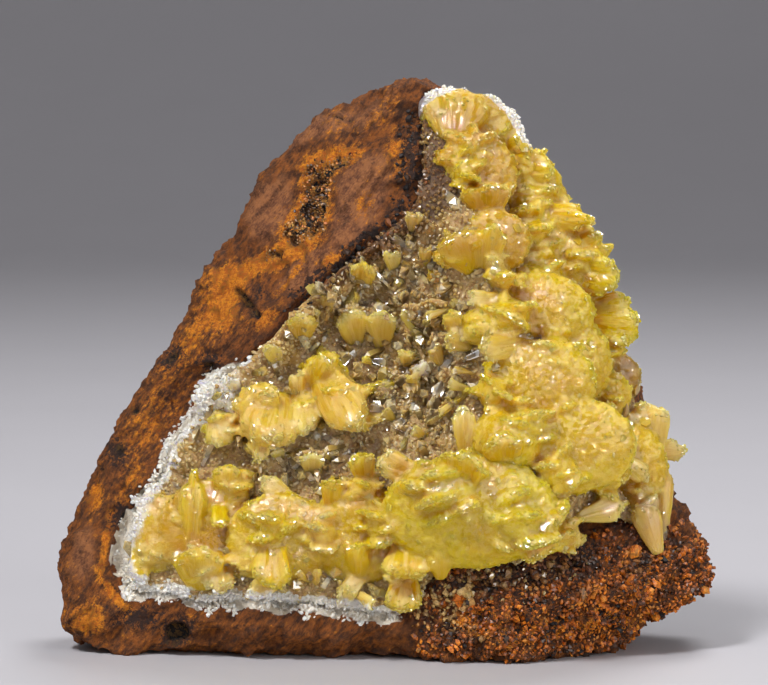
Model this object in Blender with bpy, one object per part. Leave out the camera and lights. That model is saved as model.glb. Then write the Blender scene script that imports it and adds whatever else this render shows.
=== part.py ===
"""Adamite on limonite: a wedge of iron rock with an open hollow, lined and overgrown by crystals.

The rock is one ring-by-ring loft whose columns and rows follow the rim of the hollow. The druse
lining is the hollow's part of the same surface, moved outward. The adamite grows on that lining as
sheaves (fans of blades) and rosettes (domes of blades), fused where they grew together.
Tables are in millimetres: x to the right, y to the back, z up. The mesh is built in metres.
"""

import math
import random

import bmesh
import bpy
from mathutils import Vector, noise

MM = 0.001
GAP = 0.3  # clearance between two solids that touch
LINING = 1.3  # thickness of the druse lining
RIM_STEP = GAP + LINING  # drop from the rim to the floor, so the lining ends flush
RIM_WIDTH = 0.7  # how far the drop reaches sideways
TOP_Z = 70.0  # last ring of the rock
HOLLOW_TOP = 68.2  # last ring of the hollow
PEAK = (3.6, 5.0, 71.2)
SEED = 7

# Rock outline, (z, x) from the base up.
LEFT_EDGE = [
    (0, -37), (2.6, -38.2), (6.1, -39.5), (11.2, -40.1), (14.4, -39.8), (17.3, -37.3),
    (23.9, -34.5), (28.1, -32.8), (35.7, -28.6), (40.5, -26.2), (45.8, -22.2), (53, -18.4),
    (58.6, -15.9), (62.6, -11.9), (65.6, -9), (68.6, -4.1), (70, -1.3),
]
RIGHT_EDGE = [
    (0, 31.5), (3.9, 32.7), (6.3, 37.3), (9.1, 39.9), (13.4, 39.6), (15.7, 37.5), (22, 35.6),
    (27, 33.6), (31.3, 32.2), (34, 31.2), (36.5, 28.5), (41, 25), (48, 20.8), (55, 17.2),
    (62, 14.6), (66, 12), (70, 9),
]
# Lower front edge, (x, z): two feet with a raised stretch between them.
LOWER_EDGE = [
    (-38.5, 1.2), (-35, 0.4), (-30.9, 0.2), (-26.8, 0.5), (-24.1, 3.4), (-15.4, 3), (-8.4, 2.9),
    (-3, 3.4), (2.7, 3.1), (8, 2), (10.5, 1.1), (15.7, 0.2), (21.8, 0.6), (26.1, 0.9),
    (28.1, 2.1), (32.7, 3.9), (37, 5.5),
]
# Rim of the hollow: its left side as (z, x), its lower side as (x, z).
RIM_LEFT = [
    (0, -30.5), (7.2, -31.6), (11, -32.8), (13, -33), (16.1, -31.7), (19.7, -30), (23.1, -27.5),
    (25.9, -26.9), (28.9, -24.1), (34.3, -21.9), (36.3, -17.6), (38.6, -15.1), (42.1, -12.2),
    (44.6, -9.7), (48, -6), (50.2, -2.9), (53.3, 0.9), (55.5, 3.1), (59.8, 4), (64.5, 3.5),
    (66.7, 4), (70, 4.6),
]
RIM_LOWER = [
    (-33, 7.2), (-24.7, 7.1), (-22.7, 6.2), (-16.8, 6.7), (-11.8, 6.5), (-5.6, 5.8), (0.8, 5),
    (3.6, 5.4), (5.2, 9), (7, 11.5), (10, 12.3), (14, 12), (16, 11), (18.5, 12), (20, 13.8),
    (24, 16.2), (28, 16.8), (31.5, 14.5), (33, 12.8), (35, 16), (37, 20),
]

# Depth of the rock's front and back: rows of (z, y at 0, 1/4, 1/2, 3/4 and 1 of the width).
FRONT = [
    (0, (-6, -11, -12.5, -13, -5)),
    (14, (-4, -10.5, -12, -12.5, -1)),
    (26, (-2, -9, -11, -11.5, 2)),
    (38, (0, -7, -8.5, -9.5, 4)),
    (50, (1.5, -4.5, -6, -6.5, 4.5)),
    (62, (3, -1.5, -3, -3, 4.5)),
    (72, (4, 2, 1, 1.5, 4)),
]
BACK = [
    (0, (8, 14, 16, 15, 8)),
    (14, (9, 17, 19.5, 18, 10)),
    (26, (8, 16, 19, 17, 10.5)),
    (38, (7.5, 14, 17, 15, 10)),
    (50, (7, 12, 14, 12.5, 9.5)),
    (62, (6.5, 10, 11, 10, 8.5)),
    (72, (6.5, 7.5, 8, 7.5, 7)),
]
# Local relief of the rock face: (x, z, half-width, half-height, turn in degrees, outward mm).
ROCK_MARKS = [
    (-9.2, 54.4, 3.4, 5.6, -14, -1.0),  # dished ground round the open pit
    (-13, 60.5, 5, 3.2, 40, 1.2),  # upper plate
    (-3, 66, 5, 3, 20, 1.4),  # crown plate
    (-15.5, 52.5, 3, 4, 0, 0.9),
    (-22, 38.5, 3.6, 2.4, 40, 1.3),  # shoulder above the lower slab
    (-26, 31, 2, 4.5, -25, -1.6),  # trough down the lower slab
    (-33, 22, 2.2, 4, -20, 1.2),
    (-36, 12, 2.4, 5, 0, 1.5),
    (-35.5, 5, 3, 2.6, 0, 1.8),  # left foot
    (-15, 4.3, 14, 1.4, 0, 1.2),  # smooth ledge under the hollow
    (18, 5, 10, 5, 0, 2.4),  # crumbling foot on the right
    (29, 9, 6, 4.5, 20, 2.2),
    (36, 11, 4, 3.5, 0, 2.0),
    (11, 8, 5, 2.4, 10, -1.2),
    (23, 11.5, 4, 1.4, 20, -1.4),
]
# Relief of the broken back, the same columns.
BACK_MARKS = [
    (-14, 21, 9, 6, 30, 2.6), (14, 35, 7, 10, -20, 2.4), (4, 57, 8, 5, 10, 1.8), (21, 13, 8, 5, 0, 2.2),
    (-26, 11, 6, 6, 0, -1.8), (-2, 38, 6, 6, 0, -2.6), (9, 22, 4, 5, 0, -2.4), (-10, 46, 3, 6, -30, 1.6),
    (14, 50, 3, 5, 15, -1.8), (30, 22, 3, 6, 15, -1.6), (-4, 8, 6, 3, 0, 1.6), (-27, 26, 3, 5, -30, -1.4),
]
# Openings cut into the rock face: (x, z, half-length, half-width, turn in degrees, depth).
PITS = [
    (-9.3, 54.4, 4.5, 1.6, 65, 3.4),  # the main pit of the upper slab
    (-5.8, 61.0, 3.2, 0.8, 15, 1.3), (-16.8, 47.4, 4.0, 1.0, 35, 1.4), (-17.2, 43.2, 1.2, 0.9, 0, 2.2),
    (-25.5, 2.8, 1.6, 1.1, 70, 2.4),  # notch beside the left foot
    (12.4, 9.2, 2.4, 0.9, 5, 1.5), (22.8, 11.4, 2.6, 1.0, 18, 1.7), (31.0, 10.0, 1.9, 1.0, 35, 1.6),
    (18.4, 4.6, 1.8, 0.9, -10, 1.3),
]
# Relief of the hollow's floor, the same columns.
FLOOR_MARKS = [
    (-3, 38, 13, 10, -35, -5.5),  # deepest part
    (-15, 24, 8, 5, 0, -2.6),
    (0, 52, 7, 6, -50, -2.0),
    (9, 66, 5, 6, -20, 2.2),  # the ridge that carries most of the adamite
    (13.5, 53, 5.5, 8, 20, 4.0),
    (18.5, 41, 6, 8, 20, 4.2),
    (23, 26, 7, 8, 0, 3.0),
    (8, 20, 9, 6, 0, 2.5),
    (-6.5, 11.6, 3, 1.8, 0, -1.6),
]

# The ground that the adamite's blades stand on, the same columns as the rosettes.
MOUNDS = [
    (10.2, 65.4, 6.6, 3.8, -22, 2.0), (11.6, 59.0, 5.0, 5.0, 0, 2.4), (12.6, 51.4, 6.0, 5.0, 0, 2.6),
    (18.6, 50.0, 5.6, 6.0, 0, 3.4), (18.6, 42.0, 7.6, 5.4, 0, 3.4), (18.8, 34.0, 8.0, 5.8, 0, 3.2),
    (21.6, 26.4, 9.6, 6.4, 0, 2.8), (30.2, 21.6, 5.4, 7.2, 0, 2.4), (27.2, 31.6, 3.6, 3.4, 0, 2.4),
    (10.4, 18.8, 11.0, 7.2, 0, 3.4), (-3.0, 15.6, 6.2, 6.6, 0, 2.4), (-12.6, 14.8, 7.0, 6.0, 0, 2.6),
    (-21.6, 15.6, 6.0, 6.8, 0, 2.0), (-27.8, 14.2, 4.4, 5.6, 0, 1.6), (12.4, 40.8, 3.4, 2.6, 0, 2.8),
]
# Rosettes: (x, z, half-length, half-width, turn in degrees, how far they stand out).
RIDGE_ROSETTES = [
    (10.6, 66.2, 6.0, 3.0, -16, 3.0), (13.4, 64.6, 3.6, 2.6, -24, 4.3), (6.6, 66.2, 2.2, 1.9, 0, 2.6),
    (10.0, 61.5, 4.6, 3.6, 30, 2.6), (9.9, 59.2, 2.2, 2.2, 0, 3.7), (16.2, 59.8, 4.0, 2.8, 10, 4.4),
    (12.8, 56.4, 3.6, 2.3, 20, 4.5), (21.2, 56.3, 2.0, 1.9, 0, 3.9), (17.8, 55.5, 4.4, 3.4, -10, 4.2),
    (9.6, 50.3, 3.6, 2.6, 20, 3.4), (18.0, 51.4, 4.4, 4.3, 60, 6.0), (13.5, 48.7, 1.6, 1.4, 0, 4.8),
    (14.4, 46.6, 2.8, 1.6, -10, 4.2), (24.2, 48.0, 4.6, 3.9, -30, 6.0), (19.0, 46.0, 4.2, 3.4, 0, 4.8),
    (21.0, 42.0, 3.4, 2.4, 10, 5.8), (14.8, 42.0, 4.0, 2.9, 20, 4.4), (9.6, 40.2, 2.0, 2.2, 0, 3.2),
    (20.0, 37.0, 4.4, 3.4, 20, 5.6), (13.4, 33.0, 2.9, 3.2, 0, 5.2), (26.2, 36.6, 3.4, 3.0, 0, 4.4),
    (27.8, 32.2, 2.4, 2.2, 0, 4.6), (21.6, 32.0, 2.9, 2.2, 0, 5.6), (16.6, 29.0, 4.6, 3.4, 0, 5.2),
    (24.6, 29.5, 4.0, 2.8, 0, 3.6), (26.5, 22.4, 3.4, 3.1, 0, 5.0), (31.6, 26.0, 3.0, 3.0, 0, 3.4),
    (21.0, 23.4, 3.6, 3.6, 0, 4.4), (31.6, 18.8, 2.4, 2.8, 0, 3.6), (27.0, 18.4, 3.0, 2.0, 0, 3.6),
]
LOWER_ROSETTES = [
    (7.5, 21.2, 6.4, 4.8, 10, 7.2), (16.0, 17.8, 6.6, 4.6, -12, 6.4), (21.4, 15.8, 3.2, 2.6, 0, 5.2),
    (11.2, 14.9, 3.2, 2.5, 0, 4.6), (0.0, 17.2, 4.0, 3.4, 0, 4.4), (-2.6, 21.2, 2.8, 2.0, 0, 4.0),
    (-7.6, 16.0, 2.4, 3.0, 0, 4.6), (-13.6, 16.6, 3.9, 3.6, 0, 5.0), (-18.2, 20.8, 3.2, 2.0, 0, 3.9),
    (-17.2, 12.8, 2.6, 2.2, 0, 3.0), (-23.4, 16.6, 3.4, 4.4, 0, 2.8), (-27.8, 18.2, 2.4, 2.3, 0, 3.2),
    (-28.6, 12.8, 2.6, 2.6, 0, 2.4), (-23.2, 11.2, 3.4, 2.4, 0, 2.6), (2.2, 11.8, 2.8, 2.6, 0, 3.2),
]
CENTRE_ROSETTES = [
    (-14.4, 29.8, 4.4, 3.6, 0, 5.0), (-19.3, 28.4, 2.8, 2.5, 0, 3.8), (-7.2, 34.6, 2.9, 2.8, 0, 5.2),
    (-3.4, 33.8, 1.7, 1.9, 0, 4.0), (-5.6, 30.0, 4.9, 2.5, -27, 6.0), (-9.4, 29.2, 2.6, 2.4, 0, 4.0),
]
LINING_ROSETTES = [
    (0.0, 32.8, 2.0, 2.0, 0, 2.6), (-21.6, 31.6, 2.2, 2.4, 0, 1.5), (6.4, 46.6, 1.1, 0.9, 0, 1.4),
    (-24.6, 24.4, 2.2, 2.0, 0, 1.4), (-14.2, 23.6, 2.6, 1.5, 0, 1.3),
]
# Sheaves: (root x, z, out, crest x, z, out, half-width of the crest, thickness).
RIDGE_SHEAVES = [
    (9.0, 65.0, 1.2, 9.2, 69.2, 2.2, 3.0, 1.5), (12.0, 64.6, 1.4, 14.2, 68.3, 2.8, 2.7, 1.5),
    (13.4, 63.4, 1.8, 17.5, 65.6, 3.0, 2.2, 1.5), (14.0, 60.2, 1.6, 18.0, 62.6, 4.2, 2.2, 2.0),
    (15.4, 59.4, 2.0, 21.0, 60.0, 4.4, 2.2, 2.2), (12.8, 54.4, 2.4, 12.5, 58.2, 5.6, 3.2, 1.6),
    (18.6, 54.2, 2.2, 25.6, 53.5, 4.6, 1.8, 2.4), (10.4, 47.8, 1.6, 8.2, 52.4, 4.2, 2.4, 1.8),
    (12.4, 48.4, 2.2, 13.2, 53.2, 4.6, 1.9, 1.8), (15.0, 44.0, 1.6, 9.6, 44.6, 3.4, 1.1, 1.0),
    (22.6, 46.8, 3.0, 29.0, 46.0, 5.4, 2.6, 2.2), (22.6, 49.2, 3.0, 26.6, 51.6, 4.8, 1.9, 2.0),
    (24.6, 40.6, 2.2, 31.9, 40.2, 4.2, 3.4, 3.0), (24.2, 41.4, 3.2, 30.8, 43.4, 5.6, 1.9, 2.2),
    (16.6, 38.8, 2.2, 11.4, 38.2, 4.6, 1.6, 1.8), (24.4, 33.8, 0.0, 24.6, 38.0, 2.8, 1.4, 2.4),
    (33.0, 23.2, 1.2, 32.6, 31.0, 4.0, 2.6, 2.6), (32.6, 24.2, 1.6, 36.2, 24.4, 3.2, 1.1, 1.3),
    (9.6, 26.0, 3.4, 9.6, 31.6, 4.8, 1.6, 1.2), (15.2, 24.2, 3.4, 15.0, 30.2, 6.8, 4.2, 2.2),
    (26.4, 26.4, 2.2, 31.0, 26.6, 4.6, 1.8, 1.6), (28.2, 24.6, 2.8, 32.8, 21.4, 4.6, 1.4, 1.6),
    (20.6, 26.4, 2.8, 23.0, 21.0, 5.0, 1.9, 1.6), (24.2, 17.6, 2.8, 29.4, 18.8, 5.0, 1.6, 1.4),
    (33.0, 12.7, 1.8, 31.9, 19.0, 4.2, 2.0, 2.2), (34.2, 15.6, 1.2, 34.2, 22.6, 2.8, 1.3, 2.0),
]
LOWER_SHEAVES = [
    (4.8, 22.8, 3.8, -0.9, 25.2, 6.0, 1.9, 1.5), (9.0, 22.4, 5.0, 9.2, 26.2, 7.8, 3.4, 1.5),
    (6.9, 10.8, 1.8, 6.6, 14.0, 3.6, 1.5, 1.8), (3.0, 14.6, 2.8, 2.8, 10.4, 4.4, 3.0, 1.8),
    (2.8, 10.6, 1.8, 2.0, 6.2, 3.0, 2.3, 1.8), (-3.2, 10.0, 1.5, -3.3, 15.0, 3.5, 1.4, 1.9),
    (-2.0, 11.4, 1.4, -5.6, 7.6, 2.2, 1.3, 1.0), (-2.2, 22.0, 2.8, -2.8, 25.8, 4.8, 1.7, 1.4),
    (-22.5, 9.0, 1.4, -22.5, 14.2, 3.6, 3.0, 2.2), (-20.0, 12.0, 1.8, -20.2, 8.2, 2.6, 1.9, 1.5),
    (-23.4, 14.0, 1.8, -23.3, 23.0, 3.6, 1.5, 2.2), (-19.3, 19.8, 2.4, -19.3, 24.0, 4.2, 1.8, 1.8),
    (-20.0, 19.6, 2.2, -20.2, 16.0, 3.6, 1.1, 1.5), (-13.4, 14.4, 3.0, -13.6, 9.4, 4.2, 2.6, 2.2),
    (-12.0, 10.4, 2.0, -16.8, 8.4, 3.0, 1.4, 1.1), (-11.0, 19.4, 2.2, -15.0, 22.4, 3.6, 1.3, 1.1),
    (-6.4, 18.6, 2.8, -6.3, 22.8, 4.2, 1.3, 1.5), (-30.2, 14.6, 1.0, -29.8, 8.8, 1.7, 1.3, 1.3),
]
CENTRE_SHEAVES = [
    (-15.4, 29.0, 2.8, -16.8, 25.6, 3.8, 1.6, 2.0), (-10.6, 31.8, 2.6, -10.9, 36.2, 4.2, 1.0, 1.3),
    (-6.0, 29.0, 3.2, -1.8, 28.8, 5.0, 1.2, 1.6),
]
LINING_SHEAVES = [
    (-10.0, 38.8, -0.5, -10.0, 42.0, 2.4, 1.9, 1.6), (-7.0, 41.8, -0.5, -7.0, 44.8, 1.9, 1.1, 1.2),
    (-4.0, 38.4, -0.5, -4.2, 42.4, 2.3, 1.4, 1.2), (-0.7, 39.2, -0.5, -0.8, 42.4, 2.1, 1.7, 1.2),
    (3.0, 38.2, -0.5, 3.0, 43.0, 2.4, 0.9, 1.0), (5.6, 41.0, -0.5, 5.8, 43.6, 2.2, 1.6, 1.0),
    (3.4, 30.2, -0.5, 3.7, 35.2, 2.2, 0.9, 1.0), (6.6, 36.2, -0.5, 6.2, 39.4, 2.1, 1.1, 1.1),
    (5.4, 29.2, -0.5, 8.0, 31.6, 2.0, 0.8, 0.9), (7.6, 33.0, -0.5, 7.8, 35.2, 1.9, 1.2, 1.0),
    (-8.8, 22.6, -0.5, -8.8, 25.4, 2.0, 1.5, 1.0), (1.2, 47.0, -0.5, 0.6, 50.2, 1.7, 1.2, 1.0),
    (4.4, 50.2, -0.5, 4.8, 53.4, 1.8, 1.1, 1.1), (-18.4, 32.4, -0.5, -18.6, 34.6, 1.6, 1.0, 1.0),
    (-13.2, 35.8, -0.5, -14.0, 38.4, 1.8, 1.3, 1.1), (-12.4, 24.0, -0.5, -13.4, 26.0, 1.6, 0.9, 0.9),
    (1.4, 29.0, -0.5, -0.4, 30.6, 1.6, 0.8, 0.9), (-1.0, 44.6, -0.5, -1.8, 47.2, 1.7, 1.0, 1.0),
]

LEFT_COLUMNS = 8  # grid columns on the rock face left of the rim
HOLLOW_COLUMNS = 16
FOOT_ROWS = 4  # rows between the lower edge and the rim
HOLLOW_ROWS = 19
BACK_COLUMNS = 8
GRID_JITTER = 0.28  # how unevenly the rock's points are spread, as a share of their spacing
SIDE_SWELL = 1.4  # how far the flanks swell past the front face's edge
SIDE_STEPS = (0.22, 0.6)  # where the flank's points lie between front and back
MASS_SHARE = 0.4  # triangles kept on the main mass
CLUSTER_SHARE = 0.75
ROSETTE_ROOT = 0.45  # how far a rosette reaches behind the wall, as a share of what stands out
MOUND_ROOT = 1.2
TOOTH = 0.09  # how much a crest's teeth stand out, as a share of its length


def table(rows, at):
    """Value between the rows of a table of pairs, straight between neighbours."""
    if at <= rows[0][0]:
        return rows[0][1]
    for (a, low), (b, high) in zip(rows, rows[1:]):
        if at <= b:
            return low + (high - low) * (at - a) / (b - a)
    return rows[-1][1]


def curve(values, at):
    """Smooth curve through evenly spaced values, for at between 0 and 1."""
    place = min(max(at, 0.0), 1.0) * (len(values) - 1)
    i = min(int(place), len(values) - 2)
    t = place - i
    p0, p3 = values[max(i - 1, 0)], values[min(i + 2, len(values) - 1)]
    p1, p2 = values[i], values[i + 1]
    return 0.5 * (
        2 * p1 + (p2 - p0) * t + (2 * p0 - 5 * p1 + 4 * p2 - p3) * t * t
        + (3 * p1 - p0 - 3 * p2 + p3) * t ** 3
    )


def sheet(rows, x, z):
    """Depth of the front or the back at a place on the rock."""
    left, right = table(LEFT_EDGE, z), table(RIGHT_EDGE, z)
    share = (x - left) / (right - left)
    return table([(height, curve(values, share)) for height, values in rows], z)


def smooth(t):
    t = min(max(t, 0.0), 1.0)
    return t * t * (3 - 2 * t)


def marks(rows, x, z):
    """Sum of soft bumps and dents, counted outward."""
    total = 0.0
    for cx, cz, half_x, half_z, turn, out in rows:
        c, s = math.cos(math.radians(turn)), math.sin(math.radians(turn))
        along, across = (x - cx) * c + (z - cz) * s, (z - cz) * c - (x - cx) * s
        total += out * math.exp(-((along / half_x) ** 2 + (across / half_z) ** 2))
    return total


def lumps(x, y, z, size):
    return noise.noise(Vector((x, y, z)) / size)


def rock_front(x, z):
    """Depth of the rock's face outside the hollow."""
    crumbly = smooth((x - 2) / 6) * smooth((18 - z) / 5)
    slab = 1.1 * lumps(x, 3, z, 5.5) + 0.6 * lumps(x, 9, z, 2.6)
    crumbs = 1.5 * lumps(x, 17, z, 2.7) + 0.9 * lumps(x, 23, z, 1.6)
    return sheet(FRONT, x, z) - marks(ROCK_MARKS, x, z) - slab * (1 - crumbly) - crumbs * crumbly


def floor_depth(x, z):
    """Depth of the hollow's floor: the rock's own face, sunk at the rim and shaped inside it."""
    inside = min(x - table(RIM_LEFT, z), z - table(RIM_LOWER, x))
    away = smooth(inside / 7)
    relief = marks(FLOOR_MARKS, x, z) + 0.8 * lumps(x, 31, z, 4.0)
    return sheet(FRONT, x, z) + RIM_STEP - away * relief


def lining_front(x, z):
    """Outer face of the druse lining, on which the adamite grows."""
    return floor_depth(x, z) - GAP - LINING


def front_grid():
    """Rows of (x, z, in the hollow) over the rock's face, aligned with the hollow's rim."""
    rows = []
    chance = random.Random(SEED)
    last = FOOT_ROWS + 1 + HOLLOW_ROWS
    for r in range(last + 2):
        row = []
        for c in range(LEFT_COLUMNS + 2 + HOLLOW_COLUMNS):
            z = TOP_Z * r / last
            for _ in range(12):
                left = table(LEFT_EDGE, z) + SIDE_SWELL
                right, rim = table(RIGHT_EDGE, z) - SIDE_SWELL, table(RIM_LEFT, z)
                if c <= LEFT_COLUMNS:
                    x = left + (rim - left) * c / LEFT_COLUMNS
                else:
                    foot = rim + RIM_WIDTH
                    x = foot + (right - foot) * (c - LEFT_COLUMNS - 1) / HOLLOW_COLUMNS
                low, lip = table(LOWER_EDGE, x), table(RIM_LOWER, x)
                if r <= FOOT_ROWS:
                    wanted = low + (lip - low) * r / FOOT_ROWS
                elif r <= last:
                    sill = lip + RIM_WIDTH
                    wanted = sill + (HOLLOW_TOP - sill) * (r - FOOT_ROWS - 1) / HOLLOW_ROWS
                else:
                    wanted = TOP_Z
                z = 0.5 * (z + wanted)
            hollow = c > LEFT_COLUMNS and FOOT_ROWS < r <= last
            free_column = c not in (0, LEFT_COLUMNS, LEFT_COLUMNS + 1, LEFT_COLUMNS + 1 + HOLLOW_COLUMNS)
            free_row = r not in (0, FOOT_ROWS, FOOT_ROWS + 1, last, last + 1)
            if free_column and free_row:
                x += GRID_JITTER * (right - left) / (LEFT_COLUMNS + HOLLOW_COLUMNS) * chance.uniform(-1, 1)
                z += GRID_JITTER * TOP_Z / last * chance.uniform(-1, 1)
            row.append((x, z, hollow))
        rows.append(row)
    return rows


def rock_rings(grid, outward):
    """Rings of points round the rock, from the base up, each moved outward from its own face."""
    rings = []
    for row in grid:
        ring = []
        for x, z, hollow in row:
            y = floor_depth(x, z) if hollow else rock_front(x, z)
            ring.append(Vector((x, y - outward(hollow), z)))
        z_left, z_right = row[0][1], row[-1][1]
        y_left, y_right = ring[0].y, ring[-1].y
        reach = outward(False)
        for share in SIDE_STEPS:
            x = table(RIGHT_EDGE, z_right) + 0.6 * lumps(share * 9, 41, z_right, 4) - 0.3
            y = y_right + (sheet(BACK, x, z_right) - y_right) * share
            ring.append(Vector((x + reach, y, z_right)))
        for c in range(BACK_COLUMNS + 1):
            share = 1 - c / BACK_COLUMNS
            z = z_left + (z_right - z_left) * share
            left = table(LEFT_EDGE, z) + SIDE_SWELL
            right = table(RIGHT_EDGE, z) - SIDE_SWELL
            x = left + (right - left) * share
            y = sheet(BACK, x, z) + marks(BACK_MARKS, x, z) + 1.4 * lumps(x, 53, z, 5)
            ring.append(Vector((x, y + reach, z)))
        for share in reversed(SIDE_STEPS):
            x = table(LEFT_EDGE, z_left) + 0.6 * lumps(share * 9, 47, z_left, 4) + 0.3
            y = y_left + (sheet(BACK, x, z_left) - y_left) * share
            ring.append(Vector((x - reach, y, z_left)))
        rings.append(ring)
    return rings


def sole(ring):
    """Flat resting face: the lowest ring drawn in, more where the edge is raised, at z = 0."""
    centre = sum(ring, Vector()) / len(ring)
    points = []
    for p in ring:
        inward = Vector((centre.x - p.x, centre.y - p.y, 0)).normalized()
        draw = 1.0 + 1.3 * p.z
        points.append(Vector((p.x + inward.x * draw * 0.5, p.y + inward.y * draw, 0)))
    return points


def closed_mesh(name, points, faces):
    mesh = bpy.data.meshes.new(name)
    mesh.from_pydata([tuple(p * MM) for p in points], [], faces)
    work = bmesh.new()
    work.from_mesh(mesh)
    bmesh.ops.recalc_face_normals(work, faces=work.faces)
    work.to_mesh(mesh)
    work.free()
    return mesh


def rock_mesh(name, grid, outward):
    rings = rock_rings(grid, outward)
    width = len(rings[0])
    base = [p + Vector((0, 0, -outward(False))) for p in sole(rings[0])]
    points = base + [p for ring in rings for p in ring]
    peak = len(points)
    points.append(Vector(PEAK) + Vector((0, 0, outward(False))))
    faces = [list(range(width))[::-1]]
    for r in range(len(rings)):
        for i in range(width):
            j = (i + 1) % width
            a, b = r * width + i, r * width + j
            c, d = a + width, b + width
            # The shorter diagonal keeps ridges and pits crisp.
            if (points[a] - points[d]).length < (points[b] - points[c]).length:
                faces += [[a, b, d], [a, d, c]]
            else:
                faces += [[a, b, c], [b, d, c]]
    top = len(rings) * width
    faces += [[top + i, top + (i + 1) % width, peak] for i in range(width)]
    return closed_mesh(name, points, faces)


def lining_mesh(name, grid):
    """The hollow's part of the grid as a sheet of even thickness."""
    columns, rows = HOLLOW_COLUMNS + 1, HOLLOW_ROWS + 1
    points = []
    for out in (GAP, GAP + LINING):
        for row in grid[FOOT_ROWS + 1:-1]:
            for x, z, _ in row[LEFT_COLUMNS + 1:]:
                points.append(Vector((x, floor_depth(x, z) - out, z)))
    layer = columns * rows
    margin = 0.12
    for p in points:
        p.x += margin * (p.x < table(RIM_LEFT, p.z) + 2)
        p.z += margin * (p.z < table(RIM_LOWER, p.x) + 1.5)
    faces = []
    for r in range(rows - 1):
        for c in range(columns - 1):
            a = r * columns + c
            b, d, e = a + 1, a + columns, a + columns + 1
            if (points[a] - points[e]).length < (points[b] - points[d]).length:
                near = [[a, b, e], [a, e, d]]
            else:
                near = [[a, b, d], [b, e, d]]
            faces += near
            faces += [[i + layer for i in reversed(tri)] for tri in near]
    edge = [c for c in range(columns)]
    edge += [r * columns + columns - 1 for r in range(1, rows)]
    edge += [(rows - 1) * columns + c for c in range(columns - 2, -1, -1)]
    edge += [r * columns for r in range(rows - 2, 0, -1)]
    for a, b in zip(edge, edge[1:] + edge[:1]):
        faces += [[a, b, b + layer], [a, b + layer, a + layer]]
    return closed_mesh(name, points, faces)


def mound(points, faces, row, wall_at, chance):
    rosette(points, faces, row, wall_at, chance, MOUND_ROOT)


def rosette(points, faces, row, wall_at, chance, rooted=ROSETTE_ROOT):
    """A dome of blades: rings of alternating long and short points round an axis out of the wall."""
    x, z, half_long, half_wide, turn, out = row
    around = 7 if half_long > 3.5 else 6
    c, s = math.cos(math.radians(turn)), math.sin(math.radians(turn))
    wall = wall_at(x, z)
    start = len(points)
    levels = ((1.0, 0.1), (0.7, 0.75))
    for level, (wide, deep) in enumerate(levels):
        for i in range(around):
            angle = 2 * math.pi * (i + 0.5 * level) / around
            tooth = 1 + TOOTH * (1 if i % 2 else -1) + chance.uniform(-0.06, 0.06)
            a = half_long * wide * tooth * math.cos(angle)
            b = half_wide * wide * tooth * math.sin(angle)
            lift = out * deep * (1 + chance.uniform(-0.12, 0.12))
            points.append(Vector((x + a * c - b * s, wall - lift, z + a * s + b * c)))
    points.append(Vector((x, wall + rooted * out, z)))
    points.append(Vector((x + chance.uniform(-0.3, 0.3), wall - out, z)))
    back, crown = start + 2 * around, start + 2 * around + 1
    for i in range(around):
        j = (i + 1) % around
        low, high = start, start + around
        faces.append([back, low + j, low + i])
        faces += [[low + i, low + j, high + i], [low + j, high + j, high + i]]
        faces.append([high + i, high + j, crown])


def sheaf(points, faces, row, wall_at, chance):
    """A fan of blades: narrow at its root, with a toothed crest of some thickness."""
    root_x, root_z, root_out, crest_x, crest_z, crest_out, half_wide, thick = row
    root = Vector((root_x, wall_at(root_x, root_z) - root_out, root_z))
    crest = Vector((crest_x, wall_at(crest_x, crest_z) - crest_out, crest_z))
    along = crest - root
    length = along.length
    along.normalize()
    across = along.cross(Vector((0, 1, 0))).normalized()
    normal = across.cross(along).normalized()
    blades = 6 if half_wide > 2.2 else 4
    spread = min(math.atan2(half_wide, 0.75 * length), 1.1)
    start = len(points)
    for side in (-1, 1):
        points.append(root - along * 0.2 * length + across * 0.35 * half_wide + normal * side * 0.3 * thick)
        points.append(root - along * 0.2 * length - across * 0.35 * half_wide + normal * side * 0.3 * thick)
        for i in range(blades + 1):
            angle = spread * (1 - 2 * i / blades)
            tooth = 1 + TOOTH * (1 if i % 2 == 0 else -0.6) + chance.uniform(-0.03, 0.03)
            rim = half_wide / math.sin(spread) * tooth
            sink = length - half_wide / math.tan(spread)
            half = 0.5 * thick * (1 - 0.35 * abs(angle) / spread)
            step = 0.12 * thick * (1 if i % 2 else -1)
            points.append(
                root + along * (sink + rim * math.cos(angle) - (rim - length) * 0.2)
                + across * rim * math.sin(angle) + normal * (side * half + step)
            )
    count = blades + 3
    ring = [0] + list(range(2, count)) + [1]
    for side in (0, 1):
        base = start + side * count
        for i in range(blades):
            corner = 0 if i < blades / 2 else 1
            faces.append([base + corner, base + 2 + i, base + 3 + i][:: 1 if side else -1])
        faces.append([base, base + 2 + blades // 2, base + 1][:: 1 if side else -1])
    for a, b in zip(ring, ring[1:] + ring[:1]):
        faces += [
            [start + a, start + b, start + count + b],
            [start + a, start + count + b, start + count + a],
        ]


def crystal_mesh(name, rosettes, sheaves=(), mounds=(), wall_at=lining_front):
    """Rosettes and sheaves in one mesh, each still its own closed shell."""
    chance = random.Random(SEED)
    mesh = bpy.data.meshes.new(name)
    work = bmesh.new()
    for maker, rows in ((mound, mounds), (rosette, rosettes), (sheaf, sheaves)):
        for row in rows:
            points, faces = [], []
            maker(points, faces, row, wall_at, chance)
            made = [work.verts.new(p * MM) for p in points]
            shell = [work.faces.new([made[i] for i in face]) for face in faces]
            bmesh.ops.recalc_face_normals(work, faces=shell)
    work.to_mesh(mesh)
    work.free()
    return mesh


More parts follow.
